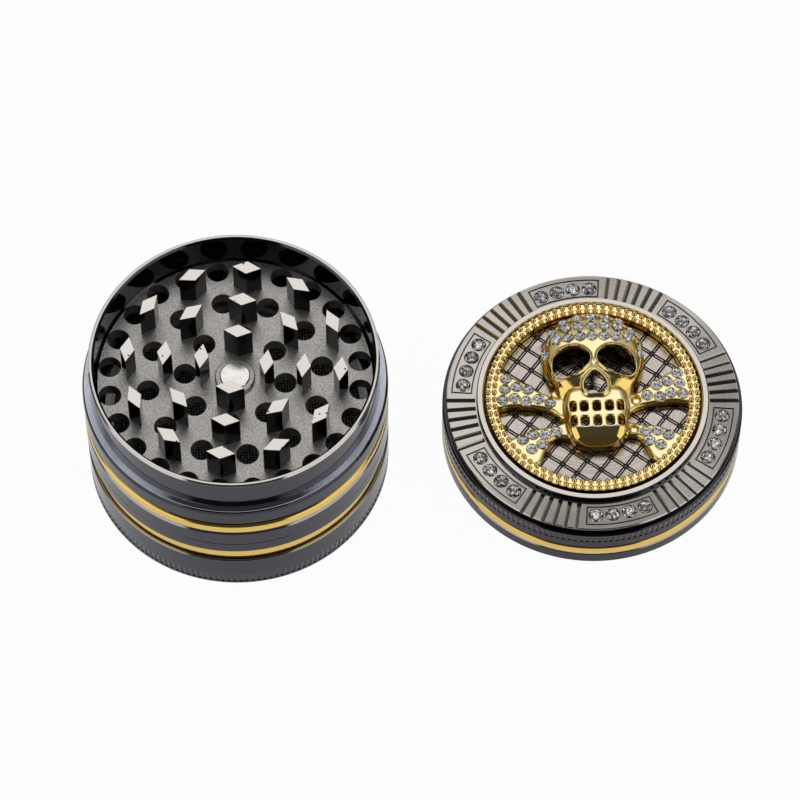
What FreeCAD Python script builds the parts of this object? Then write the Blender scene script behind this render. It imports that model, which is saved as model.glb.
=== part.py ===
import FreeCAD, Part
import math
import os

import Sketcher

# Hand grinder of four screwed layers, opened: the body stands at the origin, +Z up, and the lid lies face up
# beside it along +X. Millimetres throughout. Lid heights are counted from the table, as the lid lies.

DIMENSIONS = {
    # body, outside
    "body_radius": 31.5,
    "foot_radius": 31.2,
    "edge_break": 0.15,
    "cup_top": 9.97,
    "sieve_top": 17.3,
    "ledge_edge": 29.7,
    "ledge_top": 30.6,
    "rim_radius": 29.9,
    "rim_inner_radius": 28.7,
    "rim_top": 39.07,
    "rim_chamfer": 0.35,
    "rim_inner_chamfer": 0.45,
    # straight knurl of the foot and of the lid
    "knurl_count": 160,
    "knurl_depth": 0.18,
    "knurl_backing": 0.2,
    "foot_knurl_low": 1.0,
    "foot_knurl_high": 3.6,
    "lid_knurl_low": 8.8,
    "lid_knurl_high": 11.1,
    # screw threads between the layers
    "thread_pitch": 1.5,
    "thread_turns": 1.75,
    "spigot_root_radius": 28.3,
    "spigot_crest_radius": 28.8,
    "crest_half_width": 0.2,
    "root_half_width": 0.5,
    "socket_radius": 28.5,
    "groove_radius": 29.05,
    "groove_half_width": 0.3,
    "mouth_half_width": 0.64,
    "spigot_height": 4.0,
    "thread_start": 0.63,
    "thread_bite": 0.1,
    "groove_run_in": 1.15,
    "spigot_gap": 0.2,
    "spigot_chamfer": 0.3,
    # catch cup
    "cup_inner_radius": 26.5,
    "cup_floor": 1.8,
    "cup_corner": 2.5,
    # sieve ring and its screen
    "screen_seat": 15.2,
    "seat_inner_radius": 25.2,
    "screen_bore_radius": 27.2,
    "screen_radius": 27.1,
    "screen_thickness": 0.25,
    "retainer_height": 1.4,
    "retainer_chamfer": 0.6,
    # gold bands of the body
    "band_seat_radius": 30.4,
    "band_clearance": 0.05,
    "band_end_gap": 0.1,
    "lower_groove_top": 14.13,
    "lower_band_radius": 31.0,
    "upper_groove_low": 21.7,
    "upper_groove_high": 26.15,
    "upper_groove_lip": 0.37,
    "upper_strip_radius": 30.7,
    "upper_band_low": 22.4,
    "upper_band_high": 24.9,
    "band_shoulder": 0.8,
    # grinding chamber
    "floor_top": 30.9,
    "floor_thickness": 3.0,
    "floor_corner": 0.4,
    "floor_corner_foot": 28.3,
    "magnet_collar_radius": 4.1,
    "magnet_collar_height": 1.0,
    "drill_margin": 0.5,
    "hole_radius": 2.35,
    "outer_holes": 24,
    "outer_hole_ring": 25.97,
    "middle_holes": 12,
    "middle_hole_ring": 18.08,
    "inner_holes": 8,
    "inner_hole_ring": 10.41,
    "pattern_turn": 9.78,
    # diamond teeth
    "tooth_half_length": 2.95,
    "tooth_half_width": 1.5,
    "tooth_top": 38.83,
    "outer_teeth": 12,
    "outer_tooth_ring": 21.98,
    "middle_teeth": 8,
    "middle_tooth_ring": 14.33,
    "inner_teeth": 4,
    "inner_tooth_ring": 6.68,
    # magnets
    "magnet_radius": 3.1,
    "magnet_sink": 1.5,
    "magnet_rise": 1.25,
    # lid shell
    "lid_offset": 74.47,
    "lid_foot_break": 0.5,
    "cap_top": 11.5,
    "cap_ceiling": 9.1,
    "skirt_inner_radius": 30.55,
    "cap_chamfer": 0.3,
    "lid_groove_radius": 31.1,
    "lid_groove_low": 3.54,
    "lid_groove_high": 6.71,
    "lid_groove_lip": 0.3,
    "lid_band_high": 6.15,
    "lid_band_shoulder": 0.4,
    "post_radius": 4.1,
    "post_low": 2.9,
    "lid_magnet_low": 2.0,
    # slip ring inside the skirt
    "slip_outer_radius": 30.5,
    "slip_inner_radius": 30.0,
    "slip_flange_radius": 28.9,
    "slip_low": 0.6,
    "slip_flange_low": 8.65,
    "slip_top": 9.05,
    # lid teeth
    "lid_tooth_tip": 1.0,
    "lid_outer_tooth_ring": 25.95,
    "lid_middle_tooth_ring": 18.15,
    "lid_inner_tooth_ring": 10.5,
    # ornamental bezel
    "bezel_radius": 30.7,
    "bezel_top": 12.9,
    "bezel_chamfer": 0.2,
    "bezel_inner_radius": 22.95,
    "bezel_collar_foot": 24.4,
    "bezel_collar_shoulder_radius": 24.35,
    "bezel_collar_shoulder": 14.2,
    "bezel_collar_top_radius": 24.15,
    "bezel_collar_top": 14.5,
    "bezel_collar_inner": 23.2,
    "panel_count": 6,
    "panel_turn": -7.4,
    "panel_stones": 4,
    "stone_step": 7.3,
    "stone_ring": 27.35,
    "stone_seat_radius": 1.55,
    "stone_seat_depth": 0.75,
    "bezel_stone_radius": 1.5,
    "flute_grooves": 6,
    "flute_step": 4.5,
    "flute_groove_width": 0.95,
    "flute_groove_floor": 0.1,
    "flute_groove_depth": 0.45,
    "flute_groove_start": 24.6,
    "frame_half_angle": 15.2,
    "frame_low_radius": 25.3,
    "frame_high_radius": 29.7,
    "frame_line": 0.3,
    "frame_depth": 0.2,
    "cutter_over": 1.0,
    # lattice plate and medallion pivot
    "lattice_radius": 22.8,
    "lattice_top": 12.6,
    "pivot_radius": 0.75,
    "pivot_foot": 9.6,
    "pivot_flange_radius": 1.5,
    "pivot_flange_top": 12.9,
    "pivot_top": 15.2,
    "pivot_tip_radius": 0.5,
    "pivot_tip_height": 0.25,
    "bush_running_gap": 0.03,
    "bush_outer_radius": 1.25,
    "clip_low": 14.5,
    "clip_thickness": 0.3,
    # medallion casting
    "medal_low": 13.0,
    "medal_ring_inner": 20.2,
    "medal_ring_outer": 22.4,
    "medal_ring_top": 15.0,
    "bone_top": 14.8,
    "web_top": 14.4,
    "web_half_length": 9.0,
    "web_half_width": 1.6,
    "cranium_centre": 9.4,
    "cranium_radius": 11.0,
    "cranium_height": 5.0,
    "skull_wall": 1.1,
    "hollow_margin": 0.5,
    "face_hole_low": 15.2,
    "jaw_top": 17.6,
    "jaw_hollow_half_width": 5.4,
    "jaw_hollow_low": -10.6,
    "jaw_hollow_high": 3.0,
    "eye_spacing": 4.6,
    "eye_place": 6.9,
    "eye_radius": 3.7,
    "nose_place": 2.0,
    "nose_radius": 2.4,
    "bite_width": 1.6,
    "bite_height": 2.2,
    "bite_step": 2.7,
    "upper_bite": -4.0,
    "lower_bite": -7.3,
    "medal_seat_radius": 1.05,
    "medal_stone_radius": 1.02,
}

doc = FreeCAD.newDocument("hand_grinder")
sheet = doc.addObject("Spreadsheet::Sheet", "Dims")
for row, (alias, number) in enumerate(DIMENSIONS.items(), start=1):
    sheet.set(f"A{row}", alias)
    sheet.set(f"B{row}", str(number))
    sheet.setAlias(f"B{row}", alias)
doc.recompute()


class Size:
    """A length that carries its number and the sheet expression that drives it."""

    def __init__(self, value, text):
        self.value = value
        self.text = text

    def __add__(self, other):
        other = as_size(other)
        return Size(self.value + other.value, f"({self.text} + {other.text})")

    def __sub__(self, other):
        other = as_size(other)
        return Size(self.value - other.value, f"({self.text} - {other.text})")

    def __mul__(self, factor):
        factor = as_size(factor)
        return Size(self.value * factor.value, f"({self.text} * {factor.text})")

    def __neg__(self):
        return Size(-self.value, f"(-1 * {self.text})")


def as_size(number):
    """Wrap a plain number, so that it mixes with driven sizes."""
    return number if isinstance(number, Size) else Size(float(number), repr(float(number)))


def dim(alias):
    """The driven size that the sheet holds under this alias."""
    return Size(float(sheet.get(alias)), f"Dims.{alias}")


def num(alias):
    """The plain number that the sheet holds under this alias."""
    return float(sheet.get(alias))


def bind(item, path, size):
    """Drive one property of an object by a size."""
    item.setExpression(path, as_size(size).text)


# sketches and features

def new_body(name):
    """An empty body whose label is the sub-part's name."""
    body = doc.addObject("PartDesign::Body", name)
    body.Label = name
    return body


def origin_item(body, role):
    """One of the body's own origin planes or axes."""
    return next(item for item in body.Origin.OriginFeatures if item.Role == role)


def polygon_sketch(body, name, plane, points, height=None):
    """A closed outline of straight lines whose corners are all driven by sizes."""
    sketch = body.newObject("Sketcher::SketchObject", name)
    sketch.AttachmentSupport = (origin_item(body, plane), [""])
    sketch.MapMode = "FlatFace"
    if height is not None:
        bind(sketch, "AttachmentOffset.Base.z", height)
    corners = [(as_size(across), as_size(up)) for across, up in points]
    places = [FreeCAD.Vector(across.value, up.value, 0) for across, up in corners]
    count = len(places)
    for index in range(count):
        sketch.addGeometry(Part.LineSegment(places[index], places[(index + 1) % count]), False)
    for index in range(count):
        sketch.addConstraint(Sketcher.Constraint("Coincident", index, 2, (index + 1) % count, 1))
    for index, corner in enumerate(corners):
        for kind, size in zip(("DistanceX", "DistanceY"), corner):
            number = sketch.addConstraint(Sketcher.Constraint(kind, index, 1, size.value))
            bind(sketch, f"Constraints[{number}]", size)
    return sketch


def circle_sketch(body, name, across, up, radius, height):
    """A circle on a level plane of the body."""
    sketch = body.newObject("Sketcher::SketchObject", name)
    sketch.AttachmentSupport = (origin_item(body, "XY_Plane"), [""])
    sketch.MapMode = "FlatFace"
    bind(sketch, "AttachmentOffset.Base.z", height)
    centre = FreeCAD.Vector(across.value, up.value, 0)
    sketch.addGeometry(Part.Circle(centre, FreeCAD.Vector(0, 0, 1), radius.value), False)
    for kind, place, size in (("DistanceX", 3, across), ("DistanceY", 3, up), ("Radius", None, radius)):
        where = (0,) if place is None else (0, place)
        number = sketch.addConstraint(Sketcher.Constraint(kind, *where, size.value))
        bind(sketch, f"Constraints[{number}]", size)
    return sketch


def turned(name, points):
    """A piece turned about +Z from an outline of (radius, height) corners."""
    body = new_body(name)
    sketch = polygon_sketch(body, f"{name}_outline", "XZ_Plane", points)
    spin = body.newObject("PartDesign::Revolution", f"{name}_turn")
    spin.Profile = sketch
    spin.ReferenceAxis = (sketch, ["V_Axis"])
    spin.Angle = 360
    doc.recompute()
    return body


def polar(body, feature, count, name):
    """Repeat a feature evenly about +Z."""
    pattern = body.newObject("PartDesign::PolarPattern", name)
    pattern.Originals = [feature]
    pattern.Axis = (origin_item(body, "Z_Axis"), [""])
    pattern.Angle = 360
    bind(pattern, "Occurrences", count)
    body.Tip = pattern
    doc.recompute()
    return pattern


def screw_thread(body, kind, name, points, turns):
    """Sweep a thread outline up a right-hand helix about +Z, to add a ridge or to cut a groove."""
    before = body.Shape.Volume
    sketch = polygon_sketch(body, f"{name}_outline", "XZ_Plane", points)
    helix = body.newObject(f"PartDesign::{kind}Helix", name)
    helix.Profile = sketch
    helix.ReferenceAxis = (sketch, ["V_Axis"])
    helix.Mode = 0
    bind(helix, "Pitch", dim("thread_pitch"))
    bind(helix, "Height", dim("thread_pitch") * turns)
    doc.recompute()
    change = body.Shape.Volume - before
    if (change > 0) != (kind == "Additive"):
        raise RuntimeError(f"{name} changed the volume the wrong way: {change:.3f}")
    return helix


def spigot_thread(body, name, shoulder):
    """The ridge round a spigot that stands on a shoulder."""
    centre = shoulder + dim("thread_start")
    inside = dim("spigot_root_radius") - dim("thread_bite")
    screw_thread(body, "Additive", name, [
        (inside, centre - dim("root_half_width")),
        (dim("spigot_crest_radius"), centre - dim("crest_half_width")),
        (dim("spigot_crest_radius"), centre + dim("crest_half_width")),
        (inside, centre + dim("root_half_width")),
    ], dim("thread_turns"))


def socket_thread(body, name, shoulder):
    """The groove in a socket, open at its mouth, with room round the spigot's ridge."""
    centre = shoulder + dim("thread_start") - dim("thread_pitch")
    inside = dim("socket_radius") - dim("thread_bite")
    screw_thread(body, "Subtractive", name, [
        (inside, centre - dim("mouth_half_width")),
        (dim("groove_radius"), centre - dim("groove_half_width")),
        (dim("groove_radius"), centre + dim("groove_half_width")),
        (inside, centre + dim("mouth_half_width")),
    ], dim("thread_turns") + dim("groove_run_in"))


def place_on_lid(item):
    """Set a lid piece, drawn about the origin, on the lid's own axis."""
    bind(item, "Placement.Base.x", dim("lid_offset"))
    return item


def shaped(name, shape):
    """A piece whose shape is worked out from the sheet's numbers."""
    item = doc.addObject("Part::Feature", name)
    item.Label = name
    item.Shape = shape
    return item


def boolean(kind, name, base, tool):
    """Cut one object from another, or join two."""
    item = doc.addObject(f"Part::{kind}", name)
    item.Label = name
    item.Base = base
    item.Tool = tool
    doc.recompute()
    return item


def fused(name, items):
    """Join several objects into one piece."""
    item = doc.addObject("Part::MultiFuse", name)
    item.Label = name
    item.Shapes = items
    doc.recompute()
    return item


def knurl_ring(low, high, inner_radius):
    """A straight-knurled ring: a cog outline of shallow ridges, drawn up to its height."""
    count = int(num("knurl_count"))
    outside = num("body_radius")
    valley = outside - num("knurl_depth")
    corners = []
    for index in range(2 * count):
        radius = outside if index % 2 else valley
        angle = math.pi * index / count
        corners.append(FreeCAD.Vector(radius * math.cos(angle), radius * math.sin(angle), low))
    cog = Part.Face(Part.Wire(Part.makePolygon(corners + corners[:1])))
    solid = cog.extrude(FreeCAD.Vector(0, 0, high - low))
    return solid.cut(Part.makeCylinder(inner_radius, high - low, FreeCAD.Vector(0, 0, low)))


# body layers

def make_catch_cup():
    """Bottom cup: knurled foot, bowl with a broken corner, threaded spigot."""
    outside = dim("body_radius")
    edge = dim("edge_break")
    valley = outside - dim("knurl_depth") - dim("knurl_backing")
    spigot_top = dim("cup_top") + dim("spigot_height")
    body = turned("cup_turned", [
        (0, 0),
        (dim("foot_radius"), 0),
        (outside, edge * 3),
        (outside, dim("foot_knurl_low")),
        (valley, dim("foot_knurl_low")),
        (valley, dim("foot_knurl_high")),
        (outside, dim("foot_knurl_high")),
        (outside, dim("cup_top") - edge),
        (outside - edge, dim("cup_top")),
        (dim("spigot_root_radius"), dim("cup_top")),
        (dim("spigot_root_radius"), spigot_top - dim("spigot_chamfer")),
        (dim("spigot_root_radius") - dim("spigot_chamfer"), spigot_top),
        (dim("cup_inner_radius"), spigot_top),
        (dim("cup_inner_radius"), dim("cup_floor") + dim("cup_corner")),
        (dim("cup_inner_radius") - dim("cup_corner"), dim("cup_floor")),
        (0, dim("cup_floor")),
    ])
    spigot_thread(body, "cup_thread", dim("cup_top"))
    knurl = shaped("cup_knurl", knurl_ring(num("foot_knurl_low"), num("foot_knurl_high"), valley.value))
    return boolean("Fuse", "catch_cup", body, knurl)


def make_lower_band():
    """Gold band slid onto the sieve ring from below, sunk below the wall."""
    inner = dim("band_seat_radius") + dim("band_clearance")
    outer = dim("lower_band_radius")
    low = dim("cup_top") + dim("band_end_gap")
    high = dim("lower_groove_top") - dim("band_end_gap")
    edge = dim("edge_break")
    return turned("lower_gold_band", [
        (inner, low),
        (outer - edge, low),
        (outer, low + edge),
        (outer, high - edge),
        (outer - edge, high),
        (inner, high),
    ])


# quarter round as shares of its radius, from the outside wall up and in to the top
SHOULDER = ((0.0, 0.0), (0.08, 0.38), (0.29, 0.71), (0.62, 0.92), (1.0, 1.0))


def band_face(outer, low, high, shoulder):
    """The outer face of a raised band, from its broken lower edge up round its shoulder."""
    edge = dim("edge_break")
    foot = [(outer - edge, low), (outer, low + edge)]
    return foot + [(outer - shoulder * inwards, high - shoulder * (1 - up)) for inwards, up in SHOULDER]


def make_sieve_ring():
    """Middle ring: socket below, seat for the screen, spigot above."""
    outside = dim("body_radius")
    edge = dim("edge_break")
    socket_top = dim("cup_top") + dim("spigot_height") + dim("spigot_gap")
    spigot_top = dim("sieve_top") + dim("spigot_height")
    body = turned("sieve_ring", [
        (dim("socket_radius"), dim("cup_top")),
        (dim("band_seat_radius"), dim("cup_top")),
        (dim("band_seat_radius"), dim("lower_groove_top")),
        (outside - edge, dim("lower_groove_top")),
        (outside, dim("lower_groove_top") + edge),
        (outside, dim("sieve_top") - edge),
        (outside - edge, dim("sieve_top")),
        (dim("spigot_root_radius"), dim("sieve_top")),
        (dim("spigot_root_radius"), spigot_top - dim("spigot_chamfer")),
        (dim("spigot_root_radius") - dim("spigot_chamfer"), spigot_top),
        (dim("screen_bore_radius"), spigot_top),
        (dim("screen_bore_radius"), dim("screen_seat")),
        (dim("seat_inner_radius"), dim("screen_seat")),
        (dim("seat_inner_radius"), socket_top),
        (dim("socket_radius"), socket_top),
    ])
    spigot_thread(body, "sieve_spigot_thread", dim("sieve_top"))
    socket_thread(body, "sieve_socket_thread", dim("cup_top"))
    return body


def make_screen():
    """Fine wire screen, as a plain thin disc."""
    low = dim("screen_seat")
    return turned("sieve_screen", [
        (0, low),
        (dim("screen_radius"), low),
        (dim("screen_radius"), low + dim("screen_thickness")),
        (0, low + dim("screen_thickness")),
    ])


def make_retainer():
    """Ring pressed over the screen's edge."""
    low = dim("screen_seat") + dim("screen_thickness")
    high = low + dim("retainer_height")
    inner = dim("seat_inner_radius")
    return turned("screen_retaining_ring", [
        (inner, low),
        (dim("screen_bore_radius"), low),
        (dim("screen_bore_radius"), high),
        (inner + dim("retainer_chamfer"), high),
        (inner, high - dim("retainer_chamfer")),
    ])


def make_upper_band():
    """Gold strip that fills the chamber's groove, with a raised band round its middle."""
    inner = dim("band_seat_radius") + dim("band_clearance")
    strip = dim("upper_strip_radius")
    low = dim("upper_groove_low") + dim("band_end_gap")
    high = dim("upper_groove_high") - dim("band_end_gap")
    face = band_face(dim("body_radius"), dim("upper_band_low"), dim("upper_band_high"), dim("band_shoulder"))
    return turned("upper_gold_band", [
        (inner, low),
        (strip, low),
        (strip, dim("upper_band_low")),
        *face[:-1],
        (strip, dim("upper_band_high")),
        (strip, high),
        (inner, high),
    ])


def make_chamber():
    """Grinding chamber's wall: socket below, groove for the gold band, ledge and plain rim."""
    outside = dim("body_radius")
    edge = dim("edge_break")
    floor = dim("floor_top")
    lip = dim("upper_groove_lip")
    chamfer = dim("rim_chamfer")
    inner_chamfer = dim("rim_inner_chamfer")
    groove_low = dim("upper_groove_low")
    groove_high = dim("upper_groove_high")
    body = turned("grinding_chamber", [
        (dim("socket_radius"), dim("sieve_top")),
        (outside - edge, dim("sieve_top")),
        (outside, dim("sieve_top") + edge),
        (outside, groove_low - lip),
        (outside - lip, groove_low),
        (dim("band_seat_radius"), groove_low),
        (dim("band_seat_radius"), groove_high),
        (outside - edge, groove_high),
        (outside, groove_high + edge),
        (outside, dim("ledge_edge")),
        (outside - edge, dim("ledge_top") - edge * 2),
        (outside - edge * 3, dim("ledge_top")),
        (dim("rim_radius"), dim("ledge_top")),
        (dim("rim_radius"), dim("rim_top") - chamfer),
        (dim("rim_radius") - chamfer, dim("rim_top")),
        (dim("rim_inner_radius") + inner_chamfer, dim("rim_top")),
        (dim("rim_inner_radius"), dim("rim_top") - inner_chamfer),
        (dim("rim_inner_radius"), floor + dim("floor_corner")),
        (dim("floor_corner_foot"), floor),
        (dim("socket_radius"), floor),
    ])
    socket_thread(body, "chamber_socket_thread", dim("sieve_top"))
    return body


def make_chamber_floor():
    """Floor of the chamber: a plate with three rings of holes and a collar for the magnet."""
    edge = dim("edge_break")
    floor = dim("floor_top")
    collar_top = floor + dim("magnet_collar_height")
    pocket = floor - dim("magnet_sink")
    body = turned("chamber_floor", [
        (0, floor - dim("floor_thickness")),
        (dim("socket_radius"), floor - dim("floor_thickness")),
        (dim("socket_radius"), floor),
        (dim("magnet_collar_radius"), floor),
        (dim("magnet_collar_radius"), collar_top - edge),
        (dim("magnet_collar_radius") - edge, collar_top),
        (dim("magnet_radius"), collar_top),
        (dim("magnet_radius"), pocket),
        (0, pocket),
    ])
    turn = math.radians(num("pattern_turn"))
    for ring, first in (("outer", 0.0), ("middle", 0.5), ("inner", 0.0)):
        count = dim(f"{ring}_holes")
        angle = turn + first * 2 * math.pi / count.value
        drill_holes(body, ring, dim(f"{ring}_hole_ring"), angle, count)
    return body


def drill_holes(body, ring, radius, angle, count):
    """One ring of round holes straight through the chamber's floor; angle is clockwise from +Y."""
    before = body.Shape.Volume
    sketch = circle_sketch(body, f"{ring}_hole_outline", radius * math.sin(angle), radius * math.cos(angle),
                           dim("hole_radius"), dim("floor_top") + dim("drill_margin"))
    hole = body.newObject("PartDesign::Pocket", f"{ring}_hole")
    hole.Profile = sketch
    bind(hole, "Length", dim("floor_thickness") + dim("drill_margin") * 2)
    doc.recompute()
    if body.Shape.Volume >= before:
        raise RuntimeError(f"the {ring} hole cuts nothing")
    polar(body, hole, count, f"{ring}_hole_ring")


def tooth_rings(name, rings, low, high):
    """Rings of upright diamond prisms; each ring is (name, count, radius, angle clockwise from +Y)."""
    body = new_body(name)
    body.AllowCompound = True
    long_way = dim("tooth_half_length")
    short_way = dim("tooth_half_width")
    for ring, count, radius, angle in rings:
        out_x, out_y = math.sin(angle), math.cos(angle)
        along_x, along_y = out_y, -out_x
        corners = [
            ((radius + short_way) * out_x, (radius + short_way) * out_y),
            (radius * out_x + long_way * along_x, radius * out_y + long_way * along_y),
            ((radius - short_way) * out_x, (radius - short_way) * out_y),
            (radius * out_x - long_way * along_x, radius * out_y - long_way * along_y),
        ]
        sketch = polygon_sketch(body, f"{name}_{ring}_outline", "XY_Plane", corners, low)
        tooth = body.newObject("PartDesign::Pad", f"{name}_{ring}_tooth")
        tooth.Profile = sketch
        bind(tooth, "Length", high - low)
        doc.recompute()
        polar(body, tooth, count, f"{name}_{ring}_ring")
    return body


def make_chamber_teeth():
    """Diamond teeth on the chamber's floor."""
    turn = math.radians(num("pattern_turn"))
    rings = [(ring, dim(f"{ring}_teeth"), dim(f"{ring}_tooth_ring"), turn)
             for ring in ("outer", "middle", "inner")]
    return tooth_rings("chamber_teeth", rings, dim("floor_top"), dim("tooth_top"))


def disc_magnet(name, low, high):
    """A disc magnet with broken edges."""
    radius = dim("magnet_radius")
    edge = dim("edge_break")
    return turned(name, [
        (0, low),
        (radius - edge, low),
        (radius, low + edge),
        (radius, high - edge),
        (radius - edge, high),
        (0, high),
    ])


def make_chamber_magnet():
    """Magnet in the collar at the middle of the floor."""
    return disc_magnet("chamber_magnet", dim("floor_top") - dim("magnet_sink"),
                       dim("floor_top") + dim("magnet_rise"))


# lid

def make_slip_ring():
    """Thin angle-section plastic ring between the lid's skirt and the body's rim."""
    ring = turned("lid_slip_ring", [
        (dim("slip_inner_radius"), dim("slip_low")),
        (dim("slip_outer_radius"), dim("slip_low")),
        (dim("slip_outer_radius"), dim("slip_top")),
        (dim("slip_flange_radius"), dim("slip_top")),
        (dim("slip_flange_radius"), dim("slip_flange_low")),
        (dim("slip_inner_radius"), dim("slip_flange_low")),
    ])
    return place_on_lid(ring)


def make_lid_cap():
    """Lid shell: skirt with the band's groove, knurled upper edge, top plate and magnet post."""
    outside = dim("body_radius")
    edge = dim("edge_break")
    chamfer = dim("cap_chamfer")
    foot = dim("lid_foot_break")
    valley = outside - dim("knurl_depth") - dim("knurl_backing")
    lip = dim("lid_groove_lip")
    groove_low = dim("lid_groove_low")
    groove_high = dim("lid_groove_high")
    pocket = dim("lid_magnet_low") + dim("magnet_sink") + dim("magnet_rise")
    body = turned("cap_turned", [
        (dim("magnet_radius"), dim("post_low")),
        (dim("post_radius"), dim("post_low")),
        (dim("post_radius"), dim("cap_ceiling")),
        (dim("skirt_inner_radius"), dim("cap_ceiling")),
        (dim("skirt_inner_radius"), 0),
        (outside - foot, 0),
        (outside, foot),
        (outside, groove_low - lip),
        (outside - lip, groove_low),
        (dim("lid_groove_radius"), groove_low),
        (dim("lid_groove_radius"), groove_high),
        (outside - edge, groove_high),
        (outside, groove_high + edge),
        (outside, dim("lid_knurl_low")),
        (valley, dim("lid_knurl_low")),
        (valley, dim("lid_knurl_high")),
        (outside, dim("lid_knurl_high")),
        (outside, dim("cap_top") - chamfer),
        (outside - chamfer, dim("cap_top")),
        (dim("pivot_radius"), dim("cap_top")),
        (dim("pivot_radius"), dim("pivot_foot")),
        (0, dim("pivot_foot")),
        (0, pocket),
        (dim("magnet_radius"), pocket),
    ])
    knurl = shaped("cap_knurl", knurl_ring(num("lid_knurl_low"), num("lid_knurl_high"), valley.value))
    return place_on_lid(boolean("Fuse", "lid_cap", body, knurl))


def make_lid_teeth():
    """The lid's own diamond teeth, hanging between the chamber's rings of teeth."""
    rings = [(ring, dim(f"{ring}_teeth"), dim(f"lid_{ring}_tooth_ring"), 0.0)
             for ring in ("outer", "middle", "inner")]
    return place_on_lid(tooth_rings("lid_teeth", rings, dim("lid_tooth_tip"), dim("cap_ceiling")))


def make_lid_magnet():
    """Magnet in the lid's post."""
    low = dim("lid_magnet_low")
    high = low + dim("magnet_sink") + dim("magnet_rise")
    return place_on_lid(disc_magnet("lid_magnet", low, high))


def make_lid_band():
    """Gold band in the skirt's groove."""
    inner = dim("lid_groove_radius")
    low = dim("lid_groove_low") + dim("band_end_gap")
    high = dim("lid_band_high")
    face = band_face(dim("body_radius"), low, high, dim("lid_band_shoulder"))
    return place_on_lid(turned("lid_gold_band", [(inner, low), *face[:-1], (inner, high)]))


def panel_angles():
    """Angle of each stone panel's middle, clockwise from +Y, in degrees."""
    count = int(num("panel_count"))
    return [num("panel_turn") + 360 / count * index for index in range(count)]


def stone_angles():
    """Angle of each bezel stone, clockwise from +Y, in degrees."""
    count = int(num("panel_stones"))
    offsets = [(index - (count - 1) / 2) * num("stone_step") for index in range(count)]
    return [middle + offset for middle in panel_angles() for offset in offsets]


def around(shape, clockwise):
    """A copy of a shape drawn on the +Y side, turned clockwise about +Z."""
    copy = shape.copy()
    copy.rotate(FreeCAD.Vector(0, 0, 0), FreeCAD.Vector(0, 0, 1), -clockwise)
    return copy


def sector(inner, outer, half_angle, low, high):
    """A piece of a flat ring about +Y between two radii, from -half_angle to +half_angle."""
    ring = Part.makeCylinder(outer, high - low, FreeCAD.Vector(0, 0, low), FreeCAD.Vector(0, 0, 1),
                             2 * half_angle)
    ring = ring.cut(Part.makeCylinder(inner, high - low, FreeCAD.Vector(0, 0, low)))
    ring.rotate(FreeCAD.Vector(0, 0, 0), FreeCAD.Vector(0, 0, 1), 90 - half_angle)
    return ring


def panel_frame():
    """The engraved line round one stone panel."""
    top = num("bezel_top")
    low = top - num("frame_depth")
    line = num("frame_line")
    inner, outer = num("frame_low_radius"), num("frame_high_radius")
    half = num("frame_half_angle")
    line_angle = math.degrees(line / inner)
    over = top + num("cutter_over")
    whole = sector(inner, outer, half, low, over)
    return whole.cut(sector(inner + line, outer - line, half - line_angle, low, over))


def flute_groove():
    """One groove with slanted sides across the bezel, open at the outer edge."""
    mouth = num("flute_groove_width") / 2
    floor = num("flute_groove_floor") / 2
    top = num("bezel_top")
    low = top - num("flute_groove_depth")
    high = top + num("cutter_over")
    start = num("flute_groove_start")
    section = ((-floor, low), (floor, low), (mouth, top), (mouth, high), (-mouth, high), (-mouth, top))
    corners = [FreeCAD.Vector(across, start, up) for across, up in section]
    face = Part.Face(Part.makePolygon(corners + corners[:1]))
    return face.extrude(FreeCAD.Vector(0, num("bezel_radius") + num("cutter_over") - start, 0))


def stone_seat():
    """One round seat for a bezel stone."""
    depth = num("stone_seat_depth")
    foot = FreeCAD.Vector(0, num("stone_ring"), num("bezel_top") - depth)
    return Part.makeCylinder(num("stone_seat_radius"), depth + num("cutter_over"), foot)


def make_bezel():
    """Ornamental ring: raised collar, stone panels with an engraved frame, fluted stretches between them."""
    edge = dim("edge_break")
    chamfer = dim("bezel_chamfer")
    body = turned("bezel_turned", [
        (dim("bezel_inner_radius"), dim("cap_top")),
        (dim("bezel_radius"), dim("cap_top")),
        (dim("bezel_radius"), dim("bezel_top") - chamfer),
        (dim("bezel_radius") - chamfer, dim("bezel_top")),
        (dim("bezel_collar_foot"), dim("bezel_top")),
        (dim("bezel_collar_shoulder_radius"), dim("bezel_collar_shoulder")),
        (dim("bezel_collar_top_radius"), dim("bezel_collar_top")),
        (dim("bezel_collar_inner"), dim("bezel_collar_top")),
        (dim("bezel_inner_radius"), dim("bezel_collar_top") - edge * 2),
    ])
    grooves = int(num("flute_grooves"))
    half_panel = 180 / num("panel_count")
    cutters = [around(stone_seat(), angle) for angle in stone_angles()]
    for middle in panel_angles():
        cutters.append(around(panel_frame(), middle))
        for index in range(grooves):
            offset = (index - (grooves - 1) / 2) * num("flute_step")
            cutters.append(around(flute_groove(), middle + half_panel + offset))
    engraving = shaped("bezel_engraving", Part.makeCompound(cutters))
    return place_on_lid(boolean("Cut", "lid_bezel", body, engraving))


# corners of a round cut stone as shares of its radius: blunt foot, girdle at height 0, crown and flat table
STONE_OUTLINE = ((0, -0.45), (0.55, -0.45), (1, -0.1), (1, 0), (0.58, 0.32), (0, 0.32))


def cut_stone(radius):
    """A round cut stone about the origin, table up."""
    corners = [FreeCAD.Vector(radius * across, 0, radius * up) for across, up in STONE_OUTLINE]
    face = Part.Face(Part.Wire(Part.makePolygon(corners + corners[:1])))
    return face.revolve(FreeCAD.Vector(0, 0, 0), FreeCAD.Vector(0, 0, 1), 360)


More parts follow.
